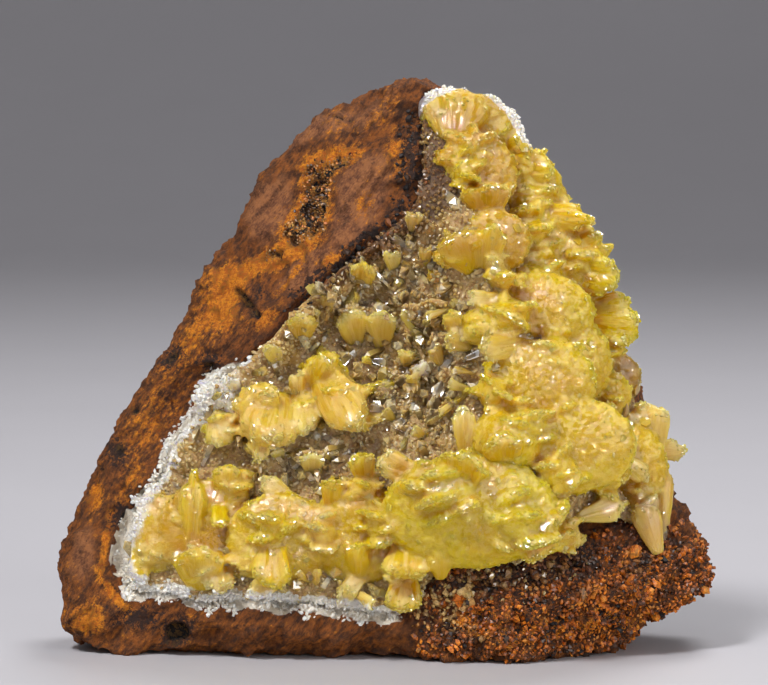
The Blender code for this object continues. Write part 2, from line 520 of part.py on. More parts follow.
def finish(name, colour, roughness):
    material = bpy.data.materials.new(name)
    material.use_nodes = True
    shader = material.node_tree.nodes["Principled BSDF"]
    shader.inputs["Base Color"].default_value = (*colour, 1)
    shader.inputs["Roughness"].default_value = roughness
    shader.inputs["Metallic"].default_value = 0
    return material


def piece(name, mesh, material):
    item = bpy.data.objects.new(name, mesh)
    bpy.context.scene.collection.objects.link(item)
    mesh.materials.append(material)
    return item


def helper(name, mesh):
    item = bpy.data.objects.new(name, mesh)
    bpy.context.scene.collection.objects.link(item)
    item.hide_render = True
    item.display_type = "WIRE"
    return item


def combine(item, operation, other, self_crossing):
    modifier = item.modifiers.new(operation.title(), "BOOLEAN")
    modifier.operation = operation
    modifier.solver = "EXACT"
    modifier.object = other
    modifier.use_self = self_crossing


def thin(item, share):
    """Drop the slivers that the cuts leave, down to a share of the triangles."""
    modifier = item.modifiers.new("Thin", "DECIMATE")
    modifier.ratio = share


def drop_crumbs(mesh):
    """Keep the one large body of a mesh, without the loose splinters that a cut can leave."""
    work = bmesh.new()
    work.from_mesh(mesh)
    left, bodies = set(work.verts), []
    while left:
        body, edge = set(), [next(iter(left))]
        while edge:
            vertex = edge.pop()
            if vertex not in body:
                body.add(vertex)
                edge += [e.other_vert(vertex) for e in vertex.link_edges]
        left -= body
        bodies.append(body)
    bodies.sort(key=len, reverse=True)
    crumbs = [vertex for body in bodies[1:] for vertex in body]
    bmesh.ops.delete(work, geom=crumbs, context="VERTS")
    work.to_mesh(mesh)
    work.free()


def settle(items):
    """Fix the evaluated shapes in place and put the origin under the middle of their box."""
    depsgraph = bpy.context.evaluated_depsgraph_get()
    made = [bpy.data.meshes.new_from_object(item.evaluated_get(depsgraph)) for item in items]
    corners = [v.co for mesh in made for v in mesh.vertices]
    shift = [0.5 * (min(c[i] for c in corners) + max(c[i] for c in corners)) for i in (0, 1)]
    low = min(c.z for c in corners)
    for item, mesh in zip(items, made):
        item.modifiers.clear()
        item.data = mesh
        drop_crumbs(mesh)
        for vertex in mesh.vertices:
            vertex.co -= Vector((shift[0], shift[1], low))


def main():
    for item in list(bpy.data.objects):
        bpy.data.objects.remove(item)

    limonite = finish("limonite", (0.23, 0.075, 0.028), 0.8)
    druse = finish("druse", (0.55, 0.47, 0.33), 0.35)
    adamite = finish("adamite", (0.68, 0.56, 0.09), 0.25)

    grid = front_grid()
    matrix = piece("limonite_matrix", rock_mesh("limonite_matrix", grid, lambda hollow: 0.0), limonite)
    pits = helper("pits", crystal_mesh("pits", PITS, wall_at=rock_front))
    combine(matrix, "DIFFERENCE", pits, False)
    support = helper(
        "support", rock_mesh("support", grid, lambda hollow: 2 * GAP + (GAP + LINING if hollow else 0.0))
    )

    lining = piece("druse_lining", lining_mesh("druse_lining", grid), druse)
    sprouts = helper("sprouts", crystal_mesh("sprouts", LINING_ROSETTES, LINING_SHEAVES))
    core = helper("core", rock_mesh("core", grid, lambda hollow: GAP + (0.5 * LINING if hollow else 0.0)))
    combine(sprouts, "DIFFERENCE", core, True)
    combine(lining, "UNION", sprouts, False)

    mass = piece(
        "adamite_main_mass",
        crystal_mesh(
            "adamite_main_mass", RIDGE_ROSETTES + LOWER_ROSETTES, RIDGE_SHEAVES + LOWER_SHEAVES, MOUNDS
        ),
        adamite,
    )
    combine(mass, "DIFFERENCE", support, True)
    thin(mass, MASS_SHARE)
    cluster = piece(
        "adamite_centre_cluster",
        crystal_mesh("adamite_centre_cluster", CENTRE_ROSETTES, CENTRE_SHEAVES),
        adamite.copy(),
    )
    combine(cluster, "DIFFERENCE", support, True)
    thin(cluster, CLUSTER_SHARE)
    settle([matrix, lining, mass, cluster])
    for item in (pits, support, sprouts, core):
        bpy.data.objects.remove(item)


main()
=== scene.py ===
"""Looks of an adamite specimen: rusty limonite, a sparkling druse lining and sheaves of adamite.

The rock and the lining are finer skins over the frame's own solids. The adamite is grown again from
its rosettes and fans, as a smooth body with thousands of blades on it. Tables are in millimetres,
x to the right, y to the back and z up; meshes are in metres, in the frame's own place.
"""

import math
import random

import bmesh
import bpy
import numpy as np
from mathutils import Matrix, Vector, noise
from mathutils.bvhtree import BVHTree


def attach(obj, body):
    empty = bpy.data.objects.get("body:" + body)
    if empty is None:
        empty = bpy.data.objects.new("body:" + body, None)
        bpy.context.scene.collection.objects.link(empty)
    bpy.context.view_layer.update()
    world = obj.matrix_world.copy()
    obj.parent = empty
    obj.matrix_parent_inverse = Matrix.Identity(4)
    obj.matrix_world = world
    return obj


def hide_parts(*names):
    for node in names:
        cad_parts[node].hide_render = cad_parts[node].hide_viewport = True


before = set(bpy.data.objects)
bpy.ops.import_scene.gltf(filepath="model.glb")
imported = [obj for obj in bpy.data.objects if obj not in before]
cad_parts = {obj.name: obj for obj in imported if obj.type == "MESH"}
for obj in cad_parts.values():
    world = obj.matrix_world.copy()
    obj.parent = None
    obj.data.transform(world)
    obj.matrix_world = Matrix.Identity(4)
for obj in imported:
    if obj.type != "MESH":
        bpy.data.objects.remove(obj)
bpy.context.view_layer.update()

MM = 0.001
SEED = 11
ROCK_VOXEL, BODY_VOXEL, DRUSE_VOXEL = 0.42, 0.29, 0.40  # mm, the skins' point spacing
BODY_SUNK = 0.4  # mm, how far the adamite's back lies inside the wall
RECESS_SHADE_REACH = 5.0  # mm, how near a neighbour counts as cover, for the painted shade in the adamite's recesses
DOME_ROOT = 0.5  # how far a dome reaches behind the wall, as a share of what stands out
CUSHIONS_LEAST, CUSHIONS_PER_MM = 2.0, 1.6  # cushions in a rosette, and for each mm of its half size
MOUND_RISE = 0.95  # share of a mound's height that shows between the rosettes
GOLDEN_ANGLE = math.radians(137.5)
LAYER_TURN, LAYER_STEP = 52.0, 0.55  # degrees that the rock's layers slant, mm from one to the next
FACET_SIZE, FACET_SHARE, FACET_TILT = 0.8, (0.47, 0.49), 0.55  # flat crystal ends: mm, range picked, slope
WOBBLE_SIZE, WOBBLE = 1000 / 700, 0.9  # mm, how the lobes' outlines wander
# Rays for the painted shade in the adamite's recesses.
RECESS_SHADE_RAYS = 9
# Relief on each ground: lobes, grain and swells, each (size, height) in mm.
ROCK_RELIEF = ((1.3, 0.3), (0.6, 0.26), (3.2, 0.9))
DRUSE_RELIEF = ((1.1, 0.3), (0.5, 0.15), (2.6, 0.8))
ADAMITE_RELIEF = ((0.9, 0.2), (0.5, 0.2), (3.0, 0.5))

# ---------------------------------------------------------------- camera, light and floor
LENS, SENSOR = 192.0, 36.0  # mm; frames 94 mm at the object
CAMERA_DISTANCE = 500.0
CAMERA_HEIGHT = 5.0  # degrees above the horizon
AIM = (0.0, -8.0, 38.7)
# Softboxes: (place, size in mm, watts, whether it lights or only shines), all aimed at the specimen.
SOFTBOXES = {
    "key": ((-240, -280, 540), 150, 3.35, True),
    "fill": ((420, -360, 180), 320, 1.1, True),
    "crown": ((120, 260, 460), 260, 1.5, True),
}
GLINTS = {  # small lamps that only shine
    "left": (-150, -420, 240), "right": (210, -400, 330), "top": (20, -230, 480), "low": (90, -470, 110),
    "far_left": (-340, -300, 340), "far_right": (340, -220, 420),
}
SOFTBOXES.update({f"glint_{name}": (place, 36, 1.8, False) for name, place in GLINTS.items()})
LIGHT_AIM = (0, -5, 34)
WORLD_LIGHT = ((0.84, 0.83, 0.84), 0.30)
SWEEP_STEPS = 24
SWEEP = (9000, 700, 700, 4000, 6000)  # front reach, where it bends up, radius, height and half-width

# ---------------------------------------------------------------- the specimen's tables
# Rim of the hollow: its left side as (z, x), its lower side as (x, z).
RIM_LEFT = [
    (0, -30.5), (7.2, -31.6), (11, -32.8), (13, -33), (16.1, -31.7), (19.7, -30), (23.1, -27.5),
    (25.9, -26.9), (28.9, -24.1), (34.3, -21.9), (36.3, -17.6), (38.6, -15.1), (42.1, -12.2), (44.6, -9.7),
    (48, -6), (50.2, -2.9), (53.3, 0.9), (55.5, 3.1), (59.8, 4), (64.5, 3.5), (66.7, 4), (70, 4.6),
]
RIM_LOWER = [
    (-33, 7.2), (-24.7, 7.1), (-22.7, 6.2), (-16.8, 6.7), (-11.8, 6.5), (-5.6, 5.8), (0.8, 5), (3.6, 5.4),
    (5.2, 9), (7, 11.5), (10, 12.3), (14, 12), (16, 11), (18.5, 12), (20, 13.8), (24, 16.2), (28, 16.8),
    (31.5, 14.5), (33, 12.8), (35, 16), (37, 20),
]
LINING_LIFT = 1.5  # mm, how far the lining's own fans stand above its fine crystals
LINING_DROP = 1.6  # from the rock's hollow up to the face of the lining

# Colours of the adamite, sRGB.
TINTS = {
    "lemon": (208, 175, 0), "green": (204, 180, 0), "straw": (210, 177, 24),
    "gold": (194, 148, 16), "cream": (220, 194, 112), "tan": (196, 162, 100),
    "white": (236, 226, 206), "pale": (216, 180, 76), "olive": (188, 150, 16),
    "rust": (190, 104, 36), "smoky": (132, 100, 56),
}

# Mounds, the ground that the blades stand on: (x, z, half-length, half-width, turn, out, tint).
RIDGE_MOUNDS = [
    (10.2, 65.4, 6.6, 3.8, -22, 2, "olive"), (11.6, 59, 5, 5, 0, 2.4, "gold"),
    (13.4, 51, 4.8, 4, 0, 2, "gold"), (18.6, 50, 5.6, 6, 0, 3.4, "straw"),
    (18.6, 42, 7.6, 5.4, 0, 3.4, "lemon"), (18.8, 34, 7.4, 5.4, 0, 2.6, "lemon"),
    (21.6, 26.4, 9.6, 6.4, 0, 2.8, "straw"), (30.4, 22.8, 5, 5.6, 0, 2.4, "straw"),
    (27.2, 31.6, 3.6, 3.4, 0, 2.4, "straw"), (12.4, 40.8, 3.4, 2.6, 0, 2.8, "straw"),
    (22.6, 47, 5.6, 6.6, 20, 4, "lemon"), (17.6, 57, 5, 4.6, -30, 3.2, "straw"),
    (22.6, 36, 5.6, 6, 0, 3.6, "lemon"), (28.8, 33.4, 3.4, 3.4, -30, 1.5, "smoky"),
    (14.8, 27.2, 4.6, 4, 0, 4.4, "lemon"),
]
LOWER_MOUNDS = [
    (10.4, 18.8, 11, 7.2, 0, 3.4, "green"), (-3, 15.6, 6.2, 6.6, 0, 2.4, "lemon"),
    (-12.6, 14.8, 7, 6, 0, 2.4, "straw"), (-21.6, 15.6, 6, 6.8, 0, 1.2, "gold"),
    (-27, 15, 4, 5, 0, 1.6, "pale"),
]
# Rosettes, domes of blades: the same columns.
RIDGE_ROSETTES = [
    (10.6, 66.2, 6, 3, -16, 3, "olive"), (13.4, 64.6, 3.6, 2.6, -24, 4.3, "straw"),
    (6.4, 66.4, 2, 1.7, 0, 2.2, "tan"), (10, 61.5, 4.6, 3.6, 30, 2.6, "gold"),
    (9.9, 59.2, 2.2, 2.2, 0, 3.7, "straw"), (16.2, 59.8, 4, 2.8, 10, 4.4, "straw"),
    (12.8, 56.4, 3.6, 2.3, 20, 4.5, "gold"), (21.2, 56.3, 2, 1.9, 0, 3.9, "lemon"),
    (17.8, 55.5, 4.4, 3.4, -10, 4.2, "straw"), (9.6, 50.3, 3.6, 2.6, 20, 3.4, "gold"),
    (18, 51.4, 4.4, 4.3, 60, 6, "lemon"), (13.5, 48.7, 1.6, 1.4, 0, 4.8, "cream"),
    (14.4, 46.6, 2.8, 1.6, -10, 4.2, "straw"), (24.2, 48, 4.6, 3.9, -30, 6, "lemon"),
    (19, 46, 4.2, 3.4, 0, 4.8, "lemon"), (21, 42, 3.4, 2.4, 10, 5.8, "straw"),
    (14.8, 42, 4, 2.9, 20, 4.4, "straw"), (9.6, 40.2, 2, 2.2, 0, 3.2, "cream"),
    (20, 37, 4.4, 3.4, 20, 5.6, "lemon"), (13.4, 33, 2.9, 3.2, 0, 5.2, "straw"),
    (26.2, 36.6, 3.4, 3, 0, 4.4, "lemon"), (27.8, 32.2, 2.4, 2.2, 0, 4.6, "straw"),
    (21.6, 32, 2.9, 2.2, 0, 5.6, "lemon"), (16.6, 29, 4.6, 3.4, 0, 5.2, "lemon"),
    (24.6, 29.5, 4, 2.8, 0, 3.6, "straw"), (26.5, 22.4, 3.4, 3.1, 0, 5, "straw"),
    (31.6, 26, 3, 3, 0, 3.4, "straw"), (21, 23.4, 3.6, 3.6, 0, 4.4, "straw"),
    (31.6, 18.8, 2.4, 2.8, 0, 3.6, "cream"), (27, 18.4, 3, 2, 0, 3.6, "cream"),
]
LOWER_ROSETTES = [
    (7.5, 21.2, 6.4, 4.8, 10, 7.2, "green"), (16, 17.8, 6.6, 4.6, -12, 6.4, "green"),
    (21.4, 15.8, 3.2, 2.6, 0, 5.2, "pale"), (11.2, 14.4, 3.2, 2.5, 0, 4.6, "pale"),
    (0, 17.2, 4, 3.4, 0, 4.4, "lemon"), (-2.6, 21.2, 2.8, 2, 0, 4, "pale"),
    (-7.6, 16, 2.6, 3.2, 0, 4.8, "pale"), (-13.6, 16.6, 3.9, 3.6, 0, 5, "lemon"),
    (-18.2, 21.2, 3.2, 2.2, 0, 4.2, "pale"), (-16.6, 12.4, 2.6, 2.2, 0, 3.6, "pale"),
    (-24.4, 18, 2.8, 3.4, 0, 3.2, "pale"), (-28.2, 18.6, 2.6, 2.2, 0, 2.8, "pale"),
    (-28.2, 13, 2.6, 2.5, 0, 2.4, "pale"), (-22.6, 11.8, 3, 2.6, 0, 3.8, "cream"),
    (2.2, 11.8, 2.8, 2.6, 0, 3.2, "cream"),
]
CENTRE_ROSETTES = [
    (-14.4, 29.4, 3.9, 3.7, 0, 4.8, "pale"), (-19.6, 28.2, 2.6, 2.5, 0, 3.6, "cream"),
    (-4.6, 31.6, 5.4, 2.9, -50, 6.2, "pale"), (-7, 34.2, 3.6, 2.5, -45, 4.6, "straw"),
    (-9.6, 30.4, 2.2, 2.6, 0, 2.8, "straw"),
]
LINING_ROSETTES = [
    (0, 32.8, 2, 2, 0, 2.6, "cream"), (-21.6, 31.6, 2.2, 2.4, 0, 1.5, "white"),
    (6.4, 46.6, 1.1, 0.9, 0, 1.4, "rust"), (-24.6, 24.4, 2.2, 2, 0, 1.4, "cream"),
    (-14.2, 23.6, 2.6, 1.5, 0, 1.3, "cream"),
]
# Sheaves, fans of blades: (root x, z, out, crest x, z, out, half-width, thickness, tint).
RIDGE_SHEAVES = [
    (8.4, 64, 1, 8.8, 69.3, 1.8, 4.4, 2.6, "olive"), (11.4, 63.4, 1.4, 13.8, 68.2, 2.4, 3.8, 2.8, "olive"),
    (12.8, 62.4, 1.8, 17.2, 64.6, 2.8, 3, 2.6, "olive"), (14, 60.2, 1.6, 18, 62.6, 4.2, 2.2, 2, "straw"),
    (15.4, 59.4, 2, 21, 60, 4.4, 2.2, 2.2, "straw"), (12.8, 54.4, 2.4, 12.5, 58.2, 5.6, 3.2, 1.6, "gold"),
    (18.6, 54.2, 2.2, 25.6, 53.5, 4.6, 1.8, 2.4, "straw"),
    (10.4, 47.8, 1.6, 8.2, 52.4, 4.2, 2.4, 1.8, "gold"),
    (12.4, 48.4, 2.2, 13.2, 53.2, 4.6, 1.9, 1.8, "straw"), (15, 44, 1.6, 9.6, 44.6, 3.4, 1.1, 1, "cream"),
    (22.6, 46.8, 3, 29, 46, 5.4, 2.6, 2.2, "green"), (22.6, 49.2, 3, 26.6, 51.6, 4.8, 1.9, 2, "lemon"),
    (24.6, 40.6, 2.2, 31.9, 40.2, 4.2, 3.4, 3, "green"),
    (24.2, 41.4, 3.2, 30.8, 43.4, 5.6, 1.9, 2.2, "green"),
    (16.6, 38.8, 2.2, 11.4, 38.2, 4.6, 1.6, 1.8, "cream"),
    (24.4, 33.8, 0, 24.6, 38, 2.8, 1.4, 2.4, "lemon"), (33, 23.2, 1.2, 32.6, 31, 4, 2.6, 2.6, "cream"),
    (32.6, 24.2, 1.6, 37.4, 24.4, 3.2, 1.5, 1.6, "cream"),
    (9.6, 26, 3.4, 9.6, 31.6, 4.8, 1.6, 1.2, "cream"), (14.6, 24.6, 3.4, 14, 28.4, 5.6, 2.6, 2.2, "lemon"),
    (26.4, 26.4, 2.2, 31, 26.6, 4.6, 1.8, 1.6, "cream"),
    (28.2, 24.6, 2.8, 32.8, 21.4, 4.6, 1.4, 1.6, "cream"), (20.6, 26.4, 2.8, 23, 21, 5, 1.9, 1.6, "straw"),
    (24.2, 17.6, 2.8, 29.4, 18.8, 5, 1.6, 1.4, "cream"), (33.4, 13.2, 1.6, 31.4, 18.8, 4, 1.9, 1.8, "tan"),
    (34.4, 15, 1.2, 34.2, 23, 3.2, 1.5, 2, "tan"),
]
LOWER_SHEAVES = [
    (4.8, 22.8, 3.8, -0.9, 25.2, 6, 1.9, 1.5, "cream"), (9, 22.4, 5, 9.2, 26.2, 7.8, 3.4, 1.5, "straw"),
    (6.9, 10.8, 1.8, 6.6, 14, 3.6, 1.5, 1.8, "straw"), (3, 14.6, 2.8, 2.8, 10.4, 4.4, 3, 1.8, "straw"),
    (2.8, 10.6, 1.8, 2, 6.2, 3, 2.3, 1.8, "straw"), (-3.2, 10, 1.5, -3.3, 15, 3.5, 1.4, 1.9, "straw"),
    (-2, 11.4, 1.4, -5.6, 7.6, 2.2, 1.3, 1, "cream"), (-2.2, 22, 2.8, -2.8, 25.8, 4.8, 1.7, 1.4, "straw"),
    (-22.5, 9, 1.4, -22.5, 14.2, 3.6, 3, 2.2, "straw"), (-20, 12, 1.8, -20.2, 8.2, 2.6, 1.9, 1.5, "cream"),
    (-23.4, 14, 1.8, -23.3, 23, 3.6, 1.5, 2.2, "lemon"),
    (-19.3, 19.8, 2.4, -19.3, 24, 4.2, 1.8, 1.8, "straw"),
    (-20, 19.6, 2.2, -20.2, 16, 3.6, 1.1, 1.5, "lemon"),
    (-13.4, 14.4, 3, -13.6, 9.4, 4.2, 2.6, 2.2, "straw"), (-12, 10.4, 2, -16.8, 8.4, 3, 1.4, 1.1, "cream"),
    (-11, 19.4, 2.2, -15, 22.4, 3.6, 1.3, 1.1, "cream"),
    (-6.4, 18.6, 2.8, -6.3, 22.8, 4.2, 1.3, 1.5, "straw"),
    (-30.2, 14.6, 1, -29.8, 8.8, 1.7, 1.3, 1.3, "straw"),
]
CENTRE_SHEAVES = [
    (-13.4, 31.8, 1.4, -14.6, 26.6, 4.4, 3.6, 3.6, "pale"),
    (-14.6, 29.4, 1.4, -16.2, 33.2, 3.4, 3, 3, "pale"), (-8, 35.2, 1.8, -3, 28.4, 5.8, 2.8, 3.2, "pale"),
    (-8.4, 32.6, 1.6, -6.6, 37.2, 4.4, 2.4, 2.8, "straw"),
    (-10, 31.6, 1.4, -9.6, 27.6, 3.6, 1.8, 2.4, "cream"),
    (-14.6, 28.6, 2.8, -15.6, 24.4, 3.6, 1.6, 2, "cream"),
    (-10.6, 31.8, 2.4, -10.8, 35.8, 4, 1, 1.3, "cream"),
    (-20.4, 29.8, 1.2, -20.2, 26, 3.2, 1.8, 1.8, "cream"),
]
LINING_SHEAVES = [
    (-10, 38.8, -0.5, -10, 42.2, 2.4, 2, 1.8, "pale"), (-7, 41.8, -0.5, -7, 44.8, 1.9, 1.1, 1.2, "tan"),
    (-3.4, 38.2, -0.5, -4.2, 42.6, 3, 2.1, 1.7, "cream"),
    (-0.3, 37.8, -0.5, -0.5, 42.6, 2.8, 2, 1.5, "cream"), (4, 39.2, 0.6, 1.9, 43.2, 2.6, 0.7, 0.9, "cream"),
    (8, 42.8, 0.8, 4.3, 41.7, 2.4, 0.6, 0.9, "cream"), (8.8, 39.4, 0.4, 8.2, 43, 2.8, 1.3, 1.4, "pale"),
    (10.4, 38.2, 0.4, 7.4, 39.8, 2.8, 1.4, 1.3, "cream"),
    (2.8, 35.6, 0.2, 2.7, 37.8, 2.3, 1.1, 1.2, "cream"), (5.4, 34.2, 0.2, 4, 36.4, 2.4, 1, 1, "white"),
    (3.8, 31.6, 0.2, 3.4, 35.6, 2.4, 0.8, 1, "pale"), (7, 35.8, 0.2, 6, 38.8, 2.4, 1, 1, "tan"),
    (10.6, 33, 0.8, 6.9, 34.2, 2.6, 0.7, 0.9, "cream"), (11, 35, 0.8, 7.6, 35.7, 2.2, 0.6, 0.8, "tan"),
    (9.8, 32.2, 0.6, 5.7, 29.8, 2.3, 0.6, 0.8, "tan"), (-1.4, 35.6, 0.2, -2.6, 36.9, 2, 0.7, 0.8, "cream"),
    (-8.8, 22.6, -0.5, -8.8, 25.6, 2.2, 1.7, 1, "cream"),
    (1.2, 47, -0.5, 0.6, 50.2, 1.9, 1.2, 1.1, "cream"),
    (-2.6, 45.2, -0.5, -2.4, 48.4, 1.8, 1.7, 1.2, "pale"), (3.4, 52.2, -0.5, 4, 54.8, 1.8, 1.1, 1.1, "tan"),
    (-18.4, 32.4, -0.5, -18.6, 34.6, 1.6, 1, 1, "white"), (5.2, 48, -0.3, 5, 50.6, 1.9, 0.9, 1, "tan"),
    (-13.2, 35.8, -0.5, -14, 38.4, 1.8, 1.3, 1.1, "cream"),
    (-12.4, 24, -0.5, -13.4, 26, 1.6, 0.9, 0.9, "cream"), (1.4, 29, -0.5, -0.4, 30.6, 1.8, 0.9, 0.9, "tan"),
    (5, 27.4, -0.3, 3.2, 28.6, 2, 0.8, 0.9, "cream"), (-8.2, 9.3, 0.2, -8.1, 11.9, 2.3, 0.6, 0.9, "tan"),
    (-9.2, 9.6, 0.2, -10.8, 11.7, 2.2, 0.6, 0.8, "tan"),
    (-4.8, 10.8, 0.2, -6.6, 11.4, 2.2, 0.6, 0.9, "tan"), (-5.6, 6.8, 0.4, -3.6, 9.9, 2.8, 0.8, 1, "cream"),
    (-3.8, 8.6, 0.4, -0.8, 7, 2.8, 0.9, 1.1, "cream"), (-5.6, 8.2, 0, -5.2, 10.6, 1.8, 0.4, 0.6, "tan"),
]

# Patches of the rock's face: (x, z, half-length, half-width, turn in degrees, strength).
ORANGE = [
    (-10.2, 52.6, 2.7, 1.6, 20, 1.9), (-8.9, 55.4, 1.9, 1.9, 0, 1.9), (-8.6, 58.4, 1.7, 1.9, 0, 1.9),
    (-5.9, 61, 3, 1.2, 14, 1.9), (-13.4, 48.9, 4.8, 1.1, 22, 1.9), (-18.8, 45.6, 2.6, 2, 40, 1.1),
    (-19.4, 41.6, 2, 1.6, 90, 1.2), (-15, 41.4, 2.4, 1, 40, 0.9), (1.6, 62.4, 1.6, 4.6, 0, 0.55),
    (-2.4, 55.4, 1.4, 2.4, -30, 0.6), (-16, 58.6, 3, 1, 50, 0.5), (-12, 46.2, 2.6, 0.5, 48, 0.9),
    (-6.4, 48.6, 2.6, 0.7, 35, 0.8), (-9.4, 67.2, 6, 1.2, 24, 0.5), (-36.4, 19.6, 1.4, 2, 20, 0.9),
    (-31.3, 21.2, 2.4, 1.2, 60, 0.7), (-23.6, 39.6, 2.6, 1.6, 50, 0.4), (-34.5, 13.3, 3.2, 0.45, 84, 1.7),
    (-33.2, 7.4, 2.2, 0.4, 128, 1.6), (-36.6, 4.2, 2.4, 2, 30, 1), (-26.5, 33, 5, 2.6, 55, 0.35),
    (-29.6, 27, 4, 2.4, 60, 0.35), (-3, 66, 7, 1.6, 25, 0.4), (18, 3.6, 7, 2.4, 0, 0.5),
    (33, 9, 4, 2.2, 20, 0.5), (-22, 42, 3, 2, 50, 0.4), (10, 5.4, 3.6, 1.6, 10, 0.9),
    (28, 4.6, 3.4, 1.8, 0, 0.7),
]
DARK = [
    (-32.4, 17.2, 1.6, 1, 30, 0.8), (-30.3, 4.7, 2.4, 1.2, 0, 0.7), (-25.6, 2.6, 2.2, 1.6, 60, 0.9),
    (-12.6, 63.4, 0.8, 1.6, 10, 0.6), (-26.4, 36, 1.6, 1, 50, 0.6), (-33.4, 24.6, 1.2, 1.4, 0, 0.7),
    (-15.6, 44.4, 1.6, 1.6, 0, 0.6), (13, 10.2, 7.5, 1.7, 6, 1), (-21.4, 35.6, 1.6, 1.2, 0, 0.6),
    (23, 12.6, 4.5, 1.5, 18, 0.9), (31.2, 11.2, 3, 1.6, 30, 0.7), (24, 8.6, 3, 1.6, 0, 0.5),
]
PURPLE = [
    (-2.4, 57.6, 2.8, 4.2, -25, 1.2), (-14.4, 54.6, 2.4, 4.4, -25, 1.1), (-9.5, 63.9, 4.4, 1.5, 25, 0.9),
    (-9.8, 47.4, 4.6, 1.5, 35, 1.1), (-37, 12.5, 1.8, 4.6, 0, 0.7), (-4, 53, 2.4, 2, 30, 1),
    (-2, 67, 4, 1.4, 20, 0.6),
]
# Gritty heart of the pit, and pale yellow grains on the foot.
PIT_CORE = [
    (-8.2, 58.7, 2.1, 1.7, 15, 1.1), (-8.5, 55.9, 1.8, 2.2, 0, 1), (-9.9, 52.5, 3, 1.9, 22, 1.2),
    (-5.4, 60.6, 2, 0.9, 12, 0.9), (-13.9, 49.1, 1.4, 0.7, 22, 0.9),
]
PIT_HALO = ORANGE[:4]
STRAW_GRAINS = [(6.4, 6.4, 3.6, 2.6, 0, 1.0), (9.6, 8.6, 3.0, 1.4, 0, 0.7), (12.0, 3.4, 2.4, 1.2, -20, 0.5)]
# Holes in the rock's face: (x, z, half-length, half-width, turn, depth in mm).
HOLES = [
    (-8.5, 58.2, 0.95, 0.5, 25, 1.5), (-8, 59.4, 0.5, 0.25, 80, 0.9), (-8.4, 56.5, 0.8, 0.55, 10, 1.3),
    (-9.6, 55.2, 0.4, 0.3, 0, 0.8), (-8.9, 52.5, 0.55, 0.8, -10, 1.6), (-11, 51.2, 0.8, 0.55, 40, 1.5),
    (-11.9, 52.4, 0.5, 0.3, 0, 1), (-7.9, 54.3, 0.9, 0.16, 88, 0.9), (-10.2, 53.4, 0.4, 0.35, 0, 0.9),
    (-5.8, 60.7, 0.45, 0.3, 0, 0.9), (-4.7, 60.3, 0.45, 0.25, 10, 0.9), (-14.4, 49.2, 0.6, 0.3, 30, 0.8),
    (-13.3, 48.8, 0.4, 0.25, 0, 0.7), (-17.3, 43.6, 1.7, 0.55, 135, 1.8), (-16, 42, 0.6, 0.3, 120, 1),
    (-5.7, 66, 1.7, 0.12, -4, 0.7), (-1.9, 65.7, 0.5, 0.12, -10, 0.6), (-25.9, 2, 1.5, 1, 60, 1.8),
    (-26.4, 36, 1.1, 0.4, 60, 1), (-21.9, 35.2, 0.7, 0.5, 0, 0.9), (-33, 24.8, 0.8, 0.4, 60, 0.8),
    (-30.6, 29.4, 0.6, 0.4, 30, 0.7), (-35.6, 22.6, 0.5, 0.4, 0, 0.7), (-32.2, 17.2, 0.9, 0.4, 40, 0.8),
]
# Where the lining's larger crystals stand, and where chalk lies on the lining's left.
OPEN_HOLLOW = [
    (1.5, 38, 8, 9, 0, 1), (-6, 43, 5, 3, 40, 0.8), (-8, 22.5, 9, 2.6, 0, 0.8), (-8, 10.5, 9, 2.4, 0, 0.9),
    (5, 30, 4, 4, 0, 0.9), (3, 48, 4, 5, 30, 0.5),
]
CHALK_SPOTS = [(-21.5, 31.2, 2.4, 3.2, 0, 0.8), (-18.5, 33.0, 2.0, 3.0, 0, 0.5)]
GLASSY_SPOTS = [(12.5, 10.4, 8.0, 1.9, 6, 1.0)]
# White frosting on the adamite: (bent line, half-width).
FROST = [
    ([(3.8, 66.2), (4.4, 67.8), (6.4, 69.1), (9.0, 70.0), (12.4, 69.5), (15.4, 67.0), (17.8, 62.8)], 0.6),
    ([(-31.6, 8.6), (-29.6, 9.4)], 0.9),
]


def patches(rows, x, z):
    """Sum of soft spots at places on the rock's face."""
    total = np.zeros_like(x)
    for cx, cz, half_x, half_z, turn, strength in rows:
        c, s = math.cos(math.radians(turn)), math.sin(math.radians(turn))
        along, across = (x - cx) * c + (z - cz) * s, (z - cz) * c - (x - cx) * s
        total += strength * np.exp(-((along / half_x) ** 2 + (across / half_z) ** 2))
    return total


def line_distance(line, x, z):
    """Distance in mm from places on the front to a bent line."""
    near = np.full_like(x, 1e9)
    for (ax, az), (bx, bz) in zip(line, line[1:]):
        long = max((bx - ax) ** 2 + (bz - az) ** 2, 1e-9)
        t = np.clip(((x - ax) * (bx - ax) + (z - az) * (bz - az)) / long, 0, 1)
        near = np.minimum(near, np.hypot(x - ax - t * (bx - ax), z - az - t * (bz - az)))
    return near


def read_table(rows, at):
    """Values between the rows of a table."""
    return np.interp(at, [a for a, _ in rows], [b for _, b in rows])


def inside_rim(x, z):
    """How far a place lies inside the hollow's rim, in mm; below zero on the rock outside it."""
    return np.minimum(x - read_table(RIM_LEFT, z), z - read_table(RIM_LOWER, x))


def ease(value, low, high):
    """0 below low, 1 above high, smooth between."""
    t = np.clip((value - low) / (high - low), 0, 1)
    return t * t * (3 - 2 * t)


# ---------------------------------------------------------------- node trees
def operation(name, swapped=False):
    """An operator of Wire that adds one Math node."""
    def act(self, other):
        return self.board.math(name, *((other, self) if swapped else (self, other)))
    return act


class Wire:
    """A node's socket; arithmetic on it adds Math nodes."""

    def __init__(self, board, socket):
        self.board, self.socket = board, socket

    __add__ = __radd__ = operation("ADD")
    __mul__ = __rmul__ = operation("MULTIPLY")
    __sub__, __rsub__ = operation("SUBTRACT"), operation("SUBTRACT", True)
    __truediv__, __rtruediv__ = operation("DIVIDE"), operation("DIVIDE", True)


